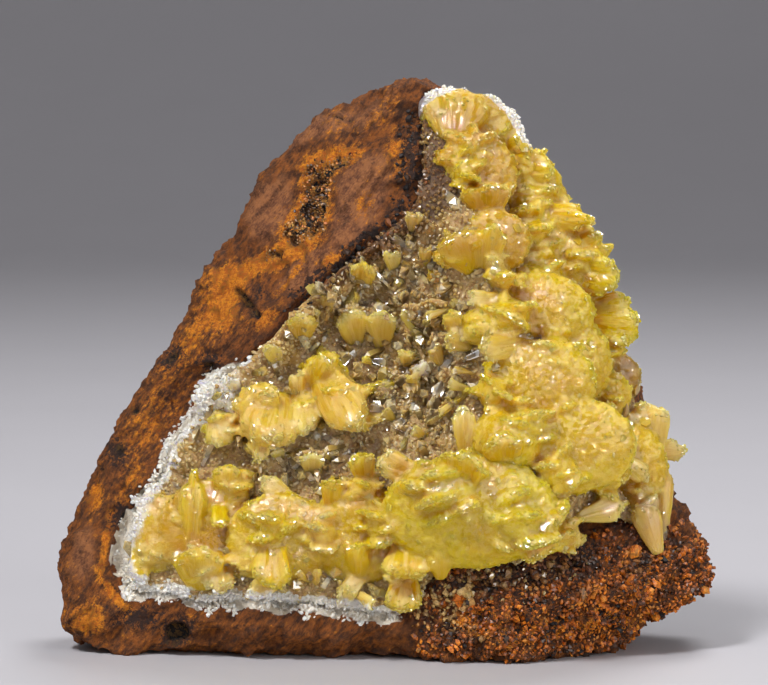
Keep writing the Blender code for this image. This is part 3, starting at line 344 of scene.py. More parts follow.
class Board:
    """A node tree, and the one way that nodes are added to it."""

    def __init__(self, tree):
        self.tree = tree
        tree.nodes.clear()

    def socket(self, sockets, key):
        if isinstance(key, int):
            return sockets[key]
        return next(s for s in sockets if s.enabled and key in (s.identifier, s.name))

    def add(self, kind, settings=None, sockets=None, output=0):
        node = self.tree.nodes.new(kind)
        for name, value in (settings or {}).items():
            setattr(node, name, value)
        for key, value in (sockets or {}).items():
            target = self.socket(node.inputs, key)
            if isinstance(value, Wire):
                self.tree.links.new(value.socket, target)
            else:
                target.default_value = value
        return Wire(self, self.socket(node.outputs, output)) if len(node.outputs) else node

    def math(self, operation, *values):
        return self.add("ShaderNodeMath", {"operation": operation}, dict(enumerate(values)))

    def vector(self, operation, *values):
        return self.add("ShaderNodeVectorMath", {"operation": operation}, dict(enumerate(values)))

    def stretch(self, wire, factor):
        return self.add("ShaderNodeVectorMath", {"operation": "SCALE"}, {0: wire, "Scale": factor})

    def centred(self, colour):
        """A random colour as a vector about zero."""
        return self.vector("SUBTRACT", colour, (0.5, 0.5, 0.5))

    def lean(self, direction, *pushes):
        """A direction with pushes added to it: (vector, factor)."""
        for push, factor in pushes:
            direction = self.vector("ADD", direction, self.stretch(push, factor))
        return direction

    def mix(self, share, low, high):
        """One colour over another; a plain colour is given in sRGB numbers."""
        low, high = (paint(*c) if isinstance(c, tuple) else c for c in (low, high))
        sockets = {"Factor": share, "A": low, "B": high}
        return self.add("ShaderNodeMix", {"data_type": "RGBA"}, sockets, "Result")

    def layers(self, colour, *rows):
        """Colours laid over a colour one after another: (share, colour)."""
        for share, over in rows:
            colour = self.mix(share, colour, over)
        return colour

    def ramp(self, value, *stops):
        """A colour read from stops: (place, colour)."""
        colour = self.add("ShaderNodeValToRGB", {}, {"Fac": value}, "Color")
        elements = colour.socket.node.color_ramp.elements
        while len(elements) < len(stops):
            elements.new(0.5)
        for element, (place, tone) in zip(elements, stops):
            element.position, element.color = place, paint(*tone)
        return colour

    def stored(self, name, output="Fac"):
        """A value that the mesh keeps, read in a material."""
        return self.add("ShaderNodeAttribute", {"attribute_name": name}, {}, output)

    def kept(self, name, kind):
        """A value that the mesh keeps, read in Geometry Nodes."""
        return self.add("GeometryNodeInputNamedAttribute", {"data_type": kind}, {"Name": name})

    def bump(self, height, distance, strength=1.0):
        sockets = {"Strength": strength, "Distance": distance * MM, "Height": height}
        return self.add("ShaderNodeBump", {}, sockets)

    def step(self, value, low, high):
        """0 below low, 1 above high, smooth between."""
        sockets = {"Value": value, "From Min": low, "From Max": high}
        return self.add("ShaderNodeMapRange", {"interpolation_type": "SMOOTHSTEP"}, sockets)

    def ripple(self, place, size, detail=4.0, rough=0.6):
        """Noise whose features are about as large as size, in mm."""
        sockets = {"Vector": place, "Scale": 1 / (size * MM), "Detail": detail, "Roughness": rough}
        return self.add("ShaderNodeTexNoise", {}, sockets, "Fac")

    def cells(self, place, size, output):
        return self.add("ShaderNodeTexVoronoi", {}, {"Vector": place, "Scale": 1 / (size * MM)}, output)


def paint(red, green, blue):
    """An sRGB colour as linear numbers."""
    return (*(((v / 255 + 0.055) / 1.055) ** 2.4 if v > 10 else v / 3294 for v in (red, green, blue)), 1)


def geometry_tree(name, inputs):
    """A Geometry Nodes tree with inputs named under their kinds, its board and its input wires."""
    tree = bpy.data.node_groups.new(name, "GeometryNodeTree")
    for kind, labels in {"Geometry": ("Geometry",), **inputs}.items():
        for label in labels:
            tree.interface.new_socket(label, in_out="INPUT", socket_type="NodeSocket" + kind)
    tree.interface.new_socket("Geometry", in_out="OUTPUT", socket_type="NodeSocketGeometry")
    board = Board(tree)
    enter = tree.nodes.new("NodeGroupInput")
    given = {s.name: Wire(board, s) for s in enter.outputs if s.name}
    return board, given


def run_tree(item, board, values):
    """The mesh that a tree makes of an item, with the tree's inputs set by identifier."""
    modifier = item.modifiers.new("Growth", "NODES")
    modifier.node_group = board.tree
    for socket in board.tree.interface.items_tree:
        if socket.in_out == "INPUT" and socket.name in values:
            modifier[socket.identifier] = values[socket.name]
    depsgraph = bpy.context.evaluated_depsgraph_get()
    mesh = bpy.data.meshes.new_from_object(
        item.evaluated_get(depsgraph), preserve_all_data_layers=True, depsgraph=depsgraph
    )
    item.modifiers.remove(modifier)
    return mesh


def relieved(relief, mesh, rows, along="rest"):
    """A mesh with lobes, grain and swells on it."""
    item = link("relief_work", mesh)
    values = {"Along": along}
    for label, (size, height) in zip(("Lobe", "Grain", "Swell"), rows):
        values.update({f"{label} size": size * MM, f"{label} height": height * MM})
    made = run_tree(item, relief, values)
    bpy.data.objects.remove(item)
    return made


def scattered(scatter, ground, shapes, where, seed, spacing, size, lean, bundle, bundle_lean, lift):
    """Small shapes on a ground where its stored value says; size is (smallest, largest)."""
    return run_tree(ground, scatter, {
        "Spacing": spacing * MM, "Smallest": size[0], "Largest": size[1], "Lean": lean,
        "Bundle size": bundle * MM, "Bundle lean": bundle_lean, "Lift": lift, "Where": where,
        "Seed": seed, **{f"Shape {i + 1}": one for i, one in enumerate(shapes)},
    })


# ---------------------------------------------------------------- meshes
def link(name, mesh):
    item = bpy.data.objects.new(name, mesh)
    bpy.context.scene.collection.objects.link(item)
    return item


def rows_of(collection, key):
    """Vectors of a mesh's points as rows of three numbers."""
    flat = np.empty(len(collection) * 3)
    collection.foreach_get(key, flat)
    return flat.reshape(-1, 3)


def points_of(mesh):
    """The mesh's points as rows of x, y, z in mm."""
    return rows_of(mesh.vertices, "co") / MM


def normals_of(mesh):
    return rows_of(mesh.vertex_normals, "vector")


def set_points(mesh, rows):
    mesh.vertices.foreach_set("co", (rows * MM).astype(np.float32).ravel())
    mesh.update()


def store(mesh, name, values):
    """Keep one number, vector or colour for each point."""
    values = np.asarray(values, np.float32)
    width = 1 if values.ndim == 1 else values.shape[1]
    kind, key = {1: ("FLOAT", "value"), 3: ("FLOAT_VECTOR", "vector"), 4: ("FLOAT_COLOR", "color")}[width]
    layer = mesh.attributes.get(name) or mesh.attributes.new(name, kind, "POINT")
    layer.data.foreach_set(key, values.ravel())


def store_all(mesh, **values):
    """Keep values for each point, each under its own name."""
    for name, value in values.items():
        store(mesh, name, value)


def remeshed(name, rough, voxel, smoothing):
    """One even skin over all shells of a rough mesh."""
    item = link(name, rough)
    remesh = item.modifiers.new("Skin", "REMESH")
    remesh.mode, remesh.voxel_size = "VOXEL", voxel * MM
    smooth = item.modifiers.new("Smooth", "SMOOTH")
    smooth.factor, smooth.iterations = 0.5, smoothing
    mesh = bpy.data.meshes.new_from_object(item.evaluated_get(bpy.context.evaluated_depsgraph_get()))
    bpy.data.objects.remove(item)
    return mesh


def tree_of(mesh):
    """The mesh's faces, to be searched."""
    return BVHTree.FromPolygons([v.co for v in mesh.vertices], [tuple(f.vertices) for f in mesh.polygons])


def merged_copy(node, name):
    """A frame node's mesh with its triangles joined."""
    work = bmesh.new()
    work.from_mesh(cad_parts[node].data)
    bmesh.ops.remove_doubles(work, verts=work.verts, dist=1e-6)
    mesh = bpy.data.meshes.new(name)
    work.to_mesh(mesh)
    work.free()
    return mesh


class Wall:
    """Depth of the lining's face at a place, read from the rock behind it."""

    LOW, HIGH, STEP = (-46.0, -4.0), (46.0, 78.0), 1.0  # the grid, x and z in mm
    FOOT, TOP = 1.0, 68.0  # heights that the search keeps between
    FIRST_STEP, NEXT_STEP, FARTHEST = 1.6, 0.5, 60  # mm that the search moves in where it meets no rock

    def __init__(self, rock):
        tree = tree_of(rock)
        columns = int((self.HIGH[0] - self.LOW[0]) / self.STEP) + 1
        rows = int((self.HIGH[1] - self.LOW[1]) / self.STEP) + 1
        self.depth = np.zeros((rows, columns))
        for r in range(rows):
            for c in range(columns):
                self.depth[r, c] = self.cast(tree, self.LOW[0] + c * self.STEP, self.LOW[1] + r * self.STEP)

    def cast(self, tree, x, z):
        z, inset = min(max(z, self.FOOT), self.TOP), 0.0
        while inset < self.FARTHEST:
            hit = tree.ray_cast(Vector((x, -100, z)) * MM, Vector((0, 1, 0)))[0]
            if hit is not None:
                return hit.y / MM - LINING_DROP
            step = self.FIRST_STEP if inset == 0 else self.NEXT_STEP
            x, inset = x - math.copysign(step, x), inset + step
        return 0.0

    def __call__(self, x, z):
        c = np.clip((np.asarray(x, float) - self.LOW[0]) / self.STEP, 0, self.depth.shape[1] - 1.001)
        r = np.clip((np.asarray(z, float) - self.LOW[1]) / self.STEP, 0, self.depth.shape[0] - 1.001)
        i, j = r.astype(int), c.astype(int)
        u, v = r - i, c - j
        d = self.depth
        near = d[i, j] * (1 - v) + d[i, j + 1] * v
        far = d[i + 1, j] * (1 - v) + d[i + 1, j + 1] * v
        return near * (1 - u) + far * u


# ---------------------------------------------------------------- crystal shapes
def shape(name, points, faces, tips):
    """A small closed shape that is repeated; tips says how near each point is to its tip."""
    mesh = bpy.data.meshes.new(name)
    mesh.from_pydata([tuple(c * MM for c in p) for p in points], [], faces)
    work = bmesh.new()
    work.from_mesh(mesh)
    bmesh.ops.recalc_face_normals(work, faces=work.faces)
    work.to_mesh(mesh)
    work.free()
    store(mesh, "tip", tips)
    item = link(name, mesh)
    item.hide_render = True
    return item


CORNERS = ((-1, -1), (1, -1), (1, 1), (-1, 1))
SIDES = ((0, 1, 2, 3), (0, 1, 5, 4), (1, 2, 6, 5), (2, 3, 7, 6), (3, 0, 4, 7))


def blade_shape(name, wide, thick, deep, shoulder, tip, slant):
    """A flat prism with a chisel end, standing along z, its root narrower than its shoulder."""
    points, tips = [], []
    for height, share, at in ((-deep, 0.6, 0.0), (shoulder, 1.0, 0.7)):
        for a, b in CORNERS:
            points.append((0.5 * wide * share * a, 0.5 * thick * share * b, height + slant * a * at))
            tips.append(at)
    points += [(0.27 * wide * a, 0, tip + slant * a) for a in (-1, 1)]
    faces = [*SIDES, (4, 5, 9, 8), (6, 7, 8, 9), (5, 6, 9), (7, 4, 8)]
    return shape(name, points, faces, [*tips, 1.0, 1.0])


def prism_shape(name, sides, radius, deep, shoulder, tip, lean):
    """A short prism with a pointed end."""
    points, tips = [], []
    for height, at in ((-deep, 0.0), (shoulder, 0.7)):
        for i in range(sides):
            angle = 2 * math.pi * i / sides
            points.append((radius * math.cos(angle), radius * math.sin(angle), height))
            tips.append(at)
    points.append((lean, 0.4 * lean, tip))
    tips.append(1.0)
    faces = [tuple(range(sides))]
    for i in range(sides):
        j = (i + 1) % sides
        faces += [(i, j, sides + j, sides + i), (sides + i, sides + j, 2 * sides)]
    return shape(name, points, faces, tips)


def fanlet_shape(name, blades, spread, wide, thick, tall):
    """A little fan of chisel-ended blades from one root."""
    points, tips, faces = [], [], []
    for k in range(blades):
        u = -1 + 2 * k / (blades - 1)
        c, s = math.cos(spread * u), math.sin(spread * u)
        high = tall * (1 - 0.16 * u * u)
        first = len(points)
        for height, share, at in ((-0.45 * tall, 0.5, 0.0), (0.72 * high, 1.0, 0.6)):
            for a, b in CORNERS:
                across = 0.5 * wide * share * a
                out = 0.5 * thick * share * b * (1 - 0.3 * abs(u))
                points.append((across * c + height * s, out, height * c - across * s))
                tips.append(at)
        points.append((high * s, 0.0, high * c))
        tips.append(1.0)
        ends = ((4, 5, 8), (5, 6, 8), (6, 7, 8), (7, 4, 8))
        faces += [tuple(first + i for i in face) for face in (*SIDES, *ends)]
    return shape(name, points, faces, tips)


def grain_shape(name, radius, seed):
    """An angular grain of eighteen or so flat sides."""
    chance = random.Random(seed)
    work = bmesh.new()
    bmesh.ops.create_icosphere(work, subdivisions=1, radius=1.0)
    points = []
    for vertex in work.verts:
        stretch = radius * chance.uniform(0.55, 1.4)
        points.append(tuple(c * stretch * flat for c, flat in zip(vertex.co, (1.1, 0.7, 0.85))))
    faces = [tuple(v.index for v in face.verts) for face in work.faces]
    work.free()
    return shape(name, points, faces, [0.5 + 0.5 * p[2] / radius for p in points])


# Small shapes, three of each kind: the function that makes it and its numbers, in mm.
SHAPES = {
    "blade": (blade_shape, (0.52, 0.36, 0.5, 0.04, 0.17, 0), (0.46, 0.40, 0.5, 0.02, 0.14, 0.05),
              (0.58, 0.34, 0.5, 0.05, 0.20, -0.05)),
    "sugar": (blade_shape, (0.34, 0.26, 0.2, 0.02, 0.09, 0), (0.28, 0.28, 0.2, 0.01, 0.08, 0.03),
              (0.40, 0.24, 0.2, 0.02, 0.10, -0.03)),
    "plate": (prism_shape, (6, 0.70, 0.3, 0.02, 0.12, 0.20), (5, 0.62, 0.3, 0.03, 0.11, -0.24),
              (4, 0.66, 0.3, 0.02, 0.13, 0.10)),
    "prism": (prism_shape, (6, 0.22, 0.3, 0.35, 0.60, 0.05), (5, 0.30, 0.3, 0.22, 0.45, -0.06),
              (4, 0.20, 0.3, 0.40, 0.62, 0.04)),
    "rod": (fanlet_shape, (3, 0.16, 0.62, 0.80, 1.7), (2, 0.10, 0.62, 0.70, 2.0),
            (3, 0.24, 0.56, 0.85, 1.3)),
    "fanlet": (fanlet_shape, (5, 0.62, 0.62, 0.75, 1.7), (4, 0.36, 0.60, 0.65, 2.1),
               (5, 0.75, 0.56, 0.85, 1.35)),
    "grain": (grain_shape, (0.26, SEED), (0.26, SEED + 1), (0.26, SEED + 2)),
}


def scatter_tree():
    """Shapes that stand on a surface in leaning bundles, along a stored growth direction."""
    board, given = geometry_tree("scattered crystals", {
        "Float": ("Spacing", "Smallest", "Largest", "Lean", "Bundle size", "Bundle lean", "Lift"),
        "String": ("Where",), "Int": ("Seed",), "Object": ("Shape 1", "Shape 2", "Shape 3"),
    })

    def random_value(kind, low, high, offset):
        sockets = {"Min": low, "Max": high, "Seed": given["Seed"] + offset}
        return board.add("FunctionNodeRandomValue", {"data_type": kind}, sockets, "Value")

    density = 2.0 / (given["Spacing"] * given["Spacing"])
    spread = board.add("GeometryNodeDistributePointsOnFaces", {"distribute_method": "POISSON"}, {
        "Mesh": given["Geometry"], "Distance Min": given["Spacing"], "Density Max": density,
        "Density Factor": board.kept(given["Where"], "FLOAT"), "Seed": given["Seed"],
    })
    normal = Wire(board, spread.socket.node.outputs["Normal"])
    shaded = board.add("GeometryNodeStoreNamedAttribute", {"data_type": "FLOAT"}, {
        "Geometry": spread, "Name": "shade", "Value": random_value("FLOAT", 0.0, 1.0, 3),
    })
    place = board.add("GeometryNodeInputPosition")
    sockets = {"Vector": place, "Scale": 1.0 / given["Bundle size"]}
    bundle = board.centred(board.add("ShaderNodeTexVoronoi", {}, sockets, "Color"))
    tilt = random_value("FLOAT_VECTOR", (-1, -1, -1), (1, 1, 1), 1)
    stray = (tilt, given["Lean"])
    pushes = ((normal, given["Lift"]), (bundle, given["Bundle lean"]), stray)
    growth = board.lean(board.kept("growth", "FLOAT_VECTOR"), *pushes)
    turned = board.lean(board.vector("ADD", board.kept("across", "FLOAT_VECTOR"), bundle), stray)
    axes = {"Primary Axis": growth, "Secondary Axis": turned}
    rotation = board.add("FunctionNodeAxesToRotation", {"primary_axis": "Z", "secondary_axis": "X"}, axes)
    size = random_value("FLOAT", given["Smallest"], given["Largest"], 2) * board.kept("size", "FLOAT")
    length = random_value("FLOAT", 0.8, 1.25, 4)
    scale = board.add("ShaderNodeCombineXYZ", {}, {"X": size, "Y": size, "Z": size * length})

    shapes = board.tree.nodes.new("GeometryNodeJoinGeometry")
    for label in ("Shape 3", "Shape 2", "Shape 1"):
        sockets = {"Object": given[label], "As Instance": True}
        one = board.add("GeometryNodeObjectInfo", {"transform_space": "ORIGINAL"}, sockets, "Geometry")
        board.tree.links.new(one.socket, shapes.inputs[0])
    stood = board.add("GeometryNodeInstanceOnPoints", {}, {
        "Points": shaded, "Instance": Wire(board, shapes.outputs[0]), "Pick Instance": True,
        "Instance Index": random_value("INT", 0, 2, 5), "Rotation": rotation, "Scale": scale,
    })
    real = board.add("GeometryNodeRealizeInstances", {}, {"Geometry": stood})
    board.add("NodeGroupOutput", {}, {0: real})
    return board


def relief_tree():
    """Rounded lobes and fine grain, pushed out along the surface's own normal."""
    board, given = geometry_tree("lobed relief", {
        "Float": ("Lobe size", "Lobe height", "Grain size", "Grain height", "Swell size", "Swell height"),
        "String": ("Along",),
    })
    place = board.kept(given["Along"], "FLOAT_VECTOR")
    wobble = board.add("ShaderNodeTexNoise", {}, {
        "Vector": place, "Scale": 1 / (WOBBLE_SIZE * MM), "Detail": 1.0,
    }, "Color")
    bent = board.lean(place, (board.centred(wobble), WOBBLE * MM))
    lobe, grain = (
        board.add("ShaderNodeTexVoronoi", {}, {"Vector": bent, "Scale": 1.0 / given[label]})
        for label in ("Lobe size", "Grain size")
    )
    here = board.add("GeometryNodeInputPosition")
    swell = board.add("ShaderNodeTexNoise", {}, {"Vector": here, "Scale": 1.0 / given["Swell size"]}, "Fac")
    dome = 0.5 - lobe * lobe * 1.6
    out = dome * given["Lobe height"] + (0.4 - grain) * given["Grain height"]
    out = out + (swell - 0.5) * given["Swell height"]
    strength = board.kept("relief", "FLOAT")
    normal = board.add("GeometryNodeInputNormal")
    sockets = {"Geometry": given["Geometry"], "Offset": board.stretch(normal, out * strength)}
    moved = board.add("GeometryNodeSetPosition", {}, sockets)
    board.add("NodeGroupOutput", {}, {0: moved})
    return board


# ---------------------------------------------------------------- materials
def material(name, build):
    """A Principled material; build returns its linked sockets and its plain ones."""
    made = bpy.data.materials.new(name)
    made.use_nodes = True
    board = Board(made.node_tree)
    place = board.add("ShaderNodeTexCoord", {}, {}, "Object")
    shader = board.add("ShaderNodeBsdfPrincipled", {}, build(board, place))
    board.add("ShaderNodeOutputMaterial", {}, {"Surface": shader})
    return made


def look(colour, rough, ior=1.5, shine=0.5, clear=0.0, bump=None, **depth):
    """Sockets of a material; clear is the share of light that goes through."""
    sockets = {"Base Color": colour, "Roughness": rough, "IOR": ior, "Specular IOR Level": shine}
    sockets.update({"Transmission Weight": clear, **depth})
    return sockets if bump is None else {**sockets, "Normal": bump}


def translucent(weight, scale, radius=(1.0, 0.85, 0.5)):
    """Sockets of a material that light goes scale mm into."""
    return {"Subsurface Weight": weight, "Subsurface Radius": radius, "Subsurface Scale": scale * MM}


def adamite_finish(board, place, depth=2.8, softness=0.92, shine=0.25, matt=0.6):
    """Waxy fibres that spread from each root, with some flat facets. Painted shade: amber in the recesses
    and away from the crests; painted light: cream at the crests, as if lit through their thin edges.
    """
    crest, fibre = board.stored("crest"), board.stored("fibre", "Vector")
    streak = board.ripple(fibre, 0.7, 3.0, 0.6)
    milky = board.step(board.ripple(place, 2.6, 3.0) * 0.7 + streak * 0.3, 0.46, 0.64)
    warm = board.step(board.ripple(place, 6.0, 2.0), 0.42, 0.66)
    glow = board.step(board.ripple(place, 4.0, 2.0), 0.5, 0.68)
    ridges = board.ripple(fibre, 0.28, 2.0, 0.5)
    powder = board.step(board.stored("frost") + board.ripple(place, 0.6, 3.0, 0.7) * 0.9 - 0.45, 0.3, 0.75)
    colour = board.layers(
        board.stored("tint", "Color"),
        (warm * 0.35, (196, 148, 6)),
        # Painted light: deeper amber away from the crests and paler at them, as light through thin edges
        # would show. The milky streaks and ridges are the crystals' own; their extra paleness at the crests
        # is painted.
        ((1.0 - crest) * 0.35, (196, 150, 0)),
        # Painted shade: darker amber where neighbours cover the sky.
        (board.step(board.stored("cavity"), 0.15, 0.8) * 0.9, (188, 134, 0)),
        (milky * (0.06 + crest * 0.22), (216, 190, 92)),
        (board.step(ridges, 0.45, 0.62) * (0.04 + crest * 0.14), (226, 206, 124)),
        (board.step(ridges, 0.5, 0.36) * 0.16, (176, 124, 6)),
        (board.step(board.stored("tip"), 0.5, 1.0) * board.stored("shade") * 0.2, (232, 216, 140)),
        (powder * 0.85, (240, 228, 206)),
        (glow * 0.3, (206, 184, 0)),
    )
    cell = board.cells(fibre, FACET_SIZE, "Color")
    picked = board.step(cell, *FACET_SHARE)
    away = board.vector("SUBTRACT", fibre, board.cells(fibre, FACET_SIZE, "Position"))
    pair = {0: away, 1: board.centred(cell)}
    facet = board.add("ShaderNodeVectorMath", {"operation": "DOT_PRODUCT"}, pair, "Value")
    fine = board.ripple(fibre, 0.45, 2.0) * 0.12
    height = facet * picked * (FACET_TILT / MM) + fine + board.ripple(place, 0.35, 2.0) * 0.07
    inner, bump = translucent(softness, depth, (1.0, 0.9, 0.25)), board.bump(height, 1.0, 0.5)
    return look(colour, matt - picked * (matt - 0.05), 1.65, shine, bump=bump, **inner)


def druse_finish(board, place):
    """The lining's ground between its crystals: grey-tan, chalky along the rim, dark up high."""
    grain, blotch = board.ripple(place, 0.7, 5.0, 0.7), board.ripple(place, 3.0, 3.0)
    colour = board.layers(
        board.mix(board.step(grain, 0.35, 0.65), (166, 128, 74), (214, 180, 122)),
        (board.step(blotch, 0.48, 0.62) * 0.7, (180, 144, 58)),
        (board.step(board.stored("dark") + grain * 0.5, 0.5, 0.9),
         board.mix(blotch, (92, 56, 26), (132, 96, 48))),
        (board.step(board.stored("chalk") + grain * 0.4, 0.45, 0.75), (248, 238, 220)),
    )
    bump = board.bump(grain, 0.25)
    return look(colour, 0.3 + grain * 0.3, 1.55, 0.15, bump=bump, **translucent(0.8, 1.6))


def druse_crystal_finish(board, place):
    """Small clear prisms, faintly tan."""
    shade = board.stored("shade")
    olive = board.step(board.ripple(place, 3.4, 2.0), 0.48, 0.6)
    colour = board.layers(
        board.mix(shade, (190, 156, 102), (222, 194, 142)),
        (olive * 0.4, (214, 174, 84)),
        (board.stored("dark") * 0.92, board.mix(olive, (112, 74, 36), (146, 116, 64))),
    )
    return look(colour, 0.2 + shade * 0.2, clear=0.15, **translucent(0.9, 1.3))


def rod_finish(board, place):
    """Cream and tan crystals, translucent, with a satin shine."""
    colour = board.layers(
        board.ramp(
            board.stored("shade"), (0.0, (200, 160, 100)), (0.25, (226, 194, 134)), (0.5, (216, 182, 84)),
            (0.75, (190, 150, 96)), (1.0, (236, 212, 160)),
        ),
        (board.step(board.ripple(place, 0.8, 3.0), 0.42, 0.62) * 0.35, (170, 128, 66)),
        (board.step(board.stored("tip"), 0.7, 0.0) * 0.7, (140, 98, 42)),
    )
    rough = 0.1 + board.ripple(place, 0.5, 2.0) * 0.25
    return look(colour, rough, 1.6, clear=0.2, **translucent(0.85, 1.6))


def chalk_finish(board, place):
    """White grains, soft and dull."""
    grain = board.ripple(place, 0.5, 4.0, 0.7)
    colour = board.mix(board.stored("shade"), (246, 234, 214), (255, 248, 236))
    colour = board.mix(board.step(grain, 0.55, 0.75) * 0.4, colour, (222, 206, 176))
    return look(colour, 0.45, **translucent(0.9, 0.9, (1.0, 0.9, 0.8)))


def limonite_finish(board, place):
    """Iron rock: rust and purple-brown mottling, orange ochre, black goethite, and painted shade in its
    holes and pores.
    """
    orange, dark, purple, crumb = (board.stored(name) for name in ("orange", "dark", "purple", "crumb"))
    hole, halo, core, chalk = (board.stored(name) for name in ("hole", "halo", "core", "chalk"))
    slant = board.add("ShaderNodeMapping", {"vector_type": "TEXTURE"}, {
        "Vector": place, "Rotation": (0, -math.radians(LAYER_TURN), 0), "Scale": (1.0, 1.0, 0.4),
    })
    fibre, fine = board.ripple(slant, 1.3, 6.0, 0.75), board.ripple(place, 0.45, 5.0, 0.78)
    broad = board.ripple(place, 5.0, 4.0, 0.6)
    soft = board.ripple(place, 2.2, 6.0, 0.7) * 0.55 + board.ripple(slant, 0.5, 4.0, 0.7) * 0.45
    sockets = {"Vector": slant, "Scale": 1 / (3.0 * MM), "Detail": 5.0, "Roughness": 0.6}
    sharp = board.add("ShaderNodeTexNoise", {"noise_type": "RIDGED_MULTIFRACTAL"}, sockets, "Fac")
    ochre = board.step(orange * 0.42 + fibre * 1.0 + fine * 0.6 + broad * 0.5, 1.17, 1.4)
    bright = board.mix(board.step(fine, 0.38, 0.62), (196, 96, 8), (246, 156, 26))
    specks = board.step(board.ripple(place, 0.5, 3.0, 0.6), 0.48, 0.56)
    black = dark * 0.45 + (1.0 - fine) * 0.7 + (1.0 - fibre) * 0.3 + dark * specks * 0.4
    grit = board.ramp(
        board.ripple(place, 0.5, 2.0, 0.6),
        (0.0, (40, 26, 12)), (0.42, (104, 66, 22)), (0.5, (168, 112, 38)),
        (0.56, (200, 146, 62)), (0.62, (222, 124, 22)), (1.0, (232, 140, 34)),
    )
    # Painted shade: near-black spots in the pit's core stand for shaded pores.
    pore_shade = board.step(board.ripple(place, 1.5, 4.0, 0.7) + core * 0.1, 0.6, 0.64)
    flecks = board.step(board.ripple(place, 0.7, 3.0, 0.6), 0.6, 0.64)
    around_core = 1.0 - core
    crack = board.stored("crack") * board.step(fine, 0.35, 0.6)
    colour = board.layers(
        board.mix(board.step(fibre, 0.38, 0.6), (82, 45, 16), (158, 88, 26)),
        (board.step(broad, 0.5, 0.68) * 0.6, (126, 74, 36)),
        (board.step(purple + broad * 0.6, 0.5, 0.95) * 0.9,
         board.mix(board.step(soft, 0.40, 0.58), (112, 66, 42), (184, 118, 70))),
        (ochre * 0.95, bright), (halo, bright),
        (board.step(black, 0.78, 0.92) * 0.9, (40, 26, 24)),
        (core, grit), (core * pore_shade, (18, 12, 9)),
        ((halo + ochre * 0.4) * flecks * around_core, (66, 32, 12)),
        # Painted shade: the holes' floors near black, speckled with brown grains.
        (hole * around_core, board.mix(specks, (22, 14, 10), (110, 76, 28))),
        (crumb * board.step(board.ripple(place, 0.8, 3.0, 0.6), 0.5, 0.62), (70, 38, 20)),
        (crack * 0.7, (62, 32, 16)),
        (board.step(sharp, 1.1, 1.7) * 0.45, (58, 30, 16)),
        (board.step(chalk + fine * 0.5, 0.5, 0.8), (252, 242, 224)),
    )
    height = fibre * 0.5 + fine * 0.9 - board.step(sharp, 1.0, 1.8) * 0.5
    return look(colour, 0.55 + fine * 0.35, shine=0.15, bump=board.bump(height, 0.7))


def crumb_finish(board, place):
    """Loose-looking grains of rock: orange, brown, tan and black."""
    shade, clump = board.stored("shade"), board.ripple(place, 2.4, 4.0, 0.75)
    colour = board.layers(
        board.ramp(
            shade * 0.3 + board.step(clump, 0.40, 0.60) * 0.6, (0.0, (34, 20, 10)), (0.22, (84, 44, 14)),
            (0.42, (156, 78, 10)), (0.62, (204, 108, 18)), (0.8, (236, 142, 26)), (0.92, (176, 128, 60)),
            (1.0, (220, 184, 112)),
        ),
        (board.step(board.stored("dark") + clump * 0.6, 0.6, 0.9) * 0.8,
         board.mix(board.step(shade, 0.5, 0.6), (38, 26, 16), (112, 80, 40))),
        (board.stored("straw") * board.step(shade, 0.3, 0.4),
         board.mix(shade, (140, 96, 44), (222, 184, 112))),
        (board.step(board.ripple(place, 0.4, 3.0), 0.42, 0.62) * 0.45, (84, 46, 20)),
    )
    return look(colour, board.step(shade, 0.0, 0.5) * 0.4 + 0.25, 1.55, 0.2)


def ochre_finish(board, place):
    """Grains of the pit and the rim: orange, brown, yellow and olive crystals."""
    colour = board.ramp(
        board.stored("shade"), (0.0, (60, 38, 18)), (0.2, (124, 80, 26)), (0.42, (190, 132, 48)),
        (0.62, (222, 126, 26)), (0.78, (196, 150, 66)), (0.9, (120, 82, 34)), (1.0, (48, 30, 18)),
    )
    return look(colour, 0.25 + board.ripple(place, 0.6) * 0.5, 1.55)


def goethite_finish(board, place):
    """Black knobbly goethite with brown and rusty grains among it."""
    shade = board.stored("shade")
    colour = board.layers(
        board.mix(shade, (24, 17, 16), (64, 48, 42)),
        (board.step(shade, 0.5, 0.56), (56, 34, 18)), (board.step(shade, 0.84, 0.88), (140, 78, 30)),
    )
    return look(colour, 0.6, 1.6, 0.12)


def floor_finish(board, place):
    """The sheet that the specimen stands on."""
    tone = board.mix(board.ripple(place, 40.0, 2.0), (184, 182, 187), (188, 186, 191))
    return look(tone, 0.5)


# ---------------------------------------------------------------- camera, light and floor
def aimed(item, target):
    item.rotation_euler = (Vector(target) * MM - item.location).to_track_quat("-Z", "Y").to_euler()


def make_camera():
    data = bpy.data.cameras.new("camera")
    data.lens, data.sensor_width = LENS, SENSOR
    data.clip_start, data.clip_end = 0.01, 40.0
    camera = link("camera", data)
    rise = math.radians(CAMERA_HEIGHT)
    away = Vector((0, -math.cos(rise), math.sin(rise))) * CAMERA_DISTANCE
    camera.location = (Vector(AIM) + away) * MM
    aimed(camera, AIM)
    bpy.context.scene.camera = camera


def make_light():
    for name, (place, size, watts, lights) in SOFTBOXES.items():
        data = bpy.data.lights.new(name, "AREA")
        data.shape, data.size, data.energy = "DISK", size * MM, watts
        lamp = link(name, data)
        lamp.location = Vector(place) * MM
        lamp.visible_diffuse = lights
        aimed(lamp, LIGHT_AIM)
    world = bpy.data.worlds.new("studio")
    world.use_nodes = True
    board = Board(world.node_tree)
    colour, strength = WORLD_LIGHT
    light = board.add("ShaderNodeBackground", {}, {"Color": (*colour, 1), "Strength": strength})
    board.add("ShaderNodeOutputWorld", {}, {"Surface": light})
    bpy.context.scene.world = world
    bpy.context.scene.view_settings.view_transform = "Standard"


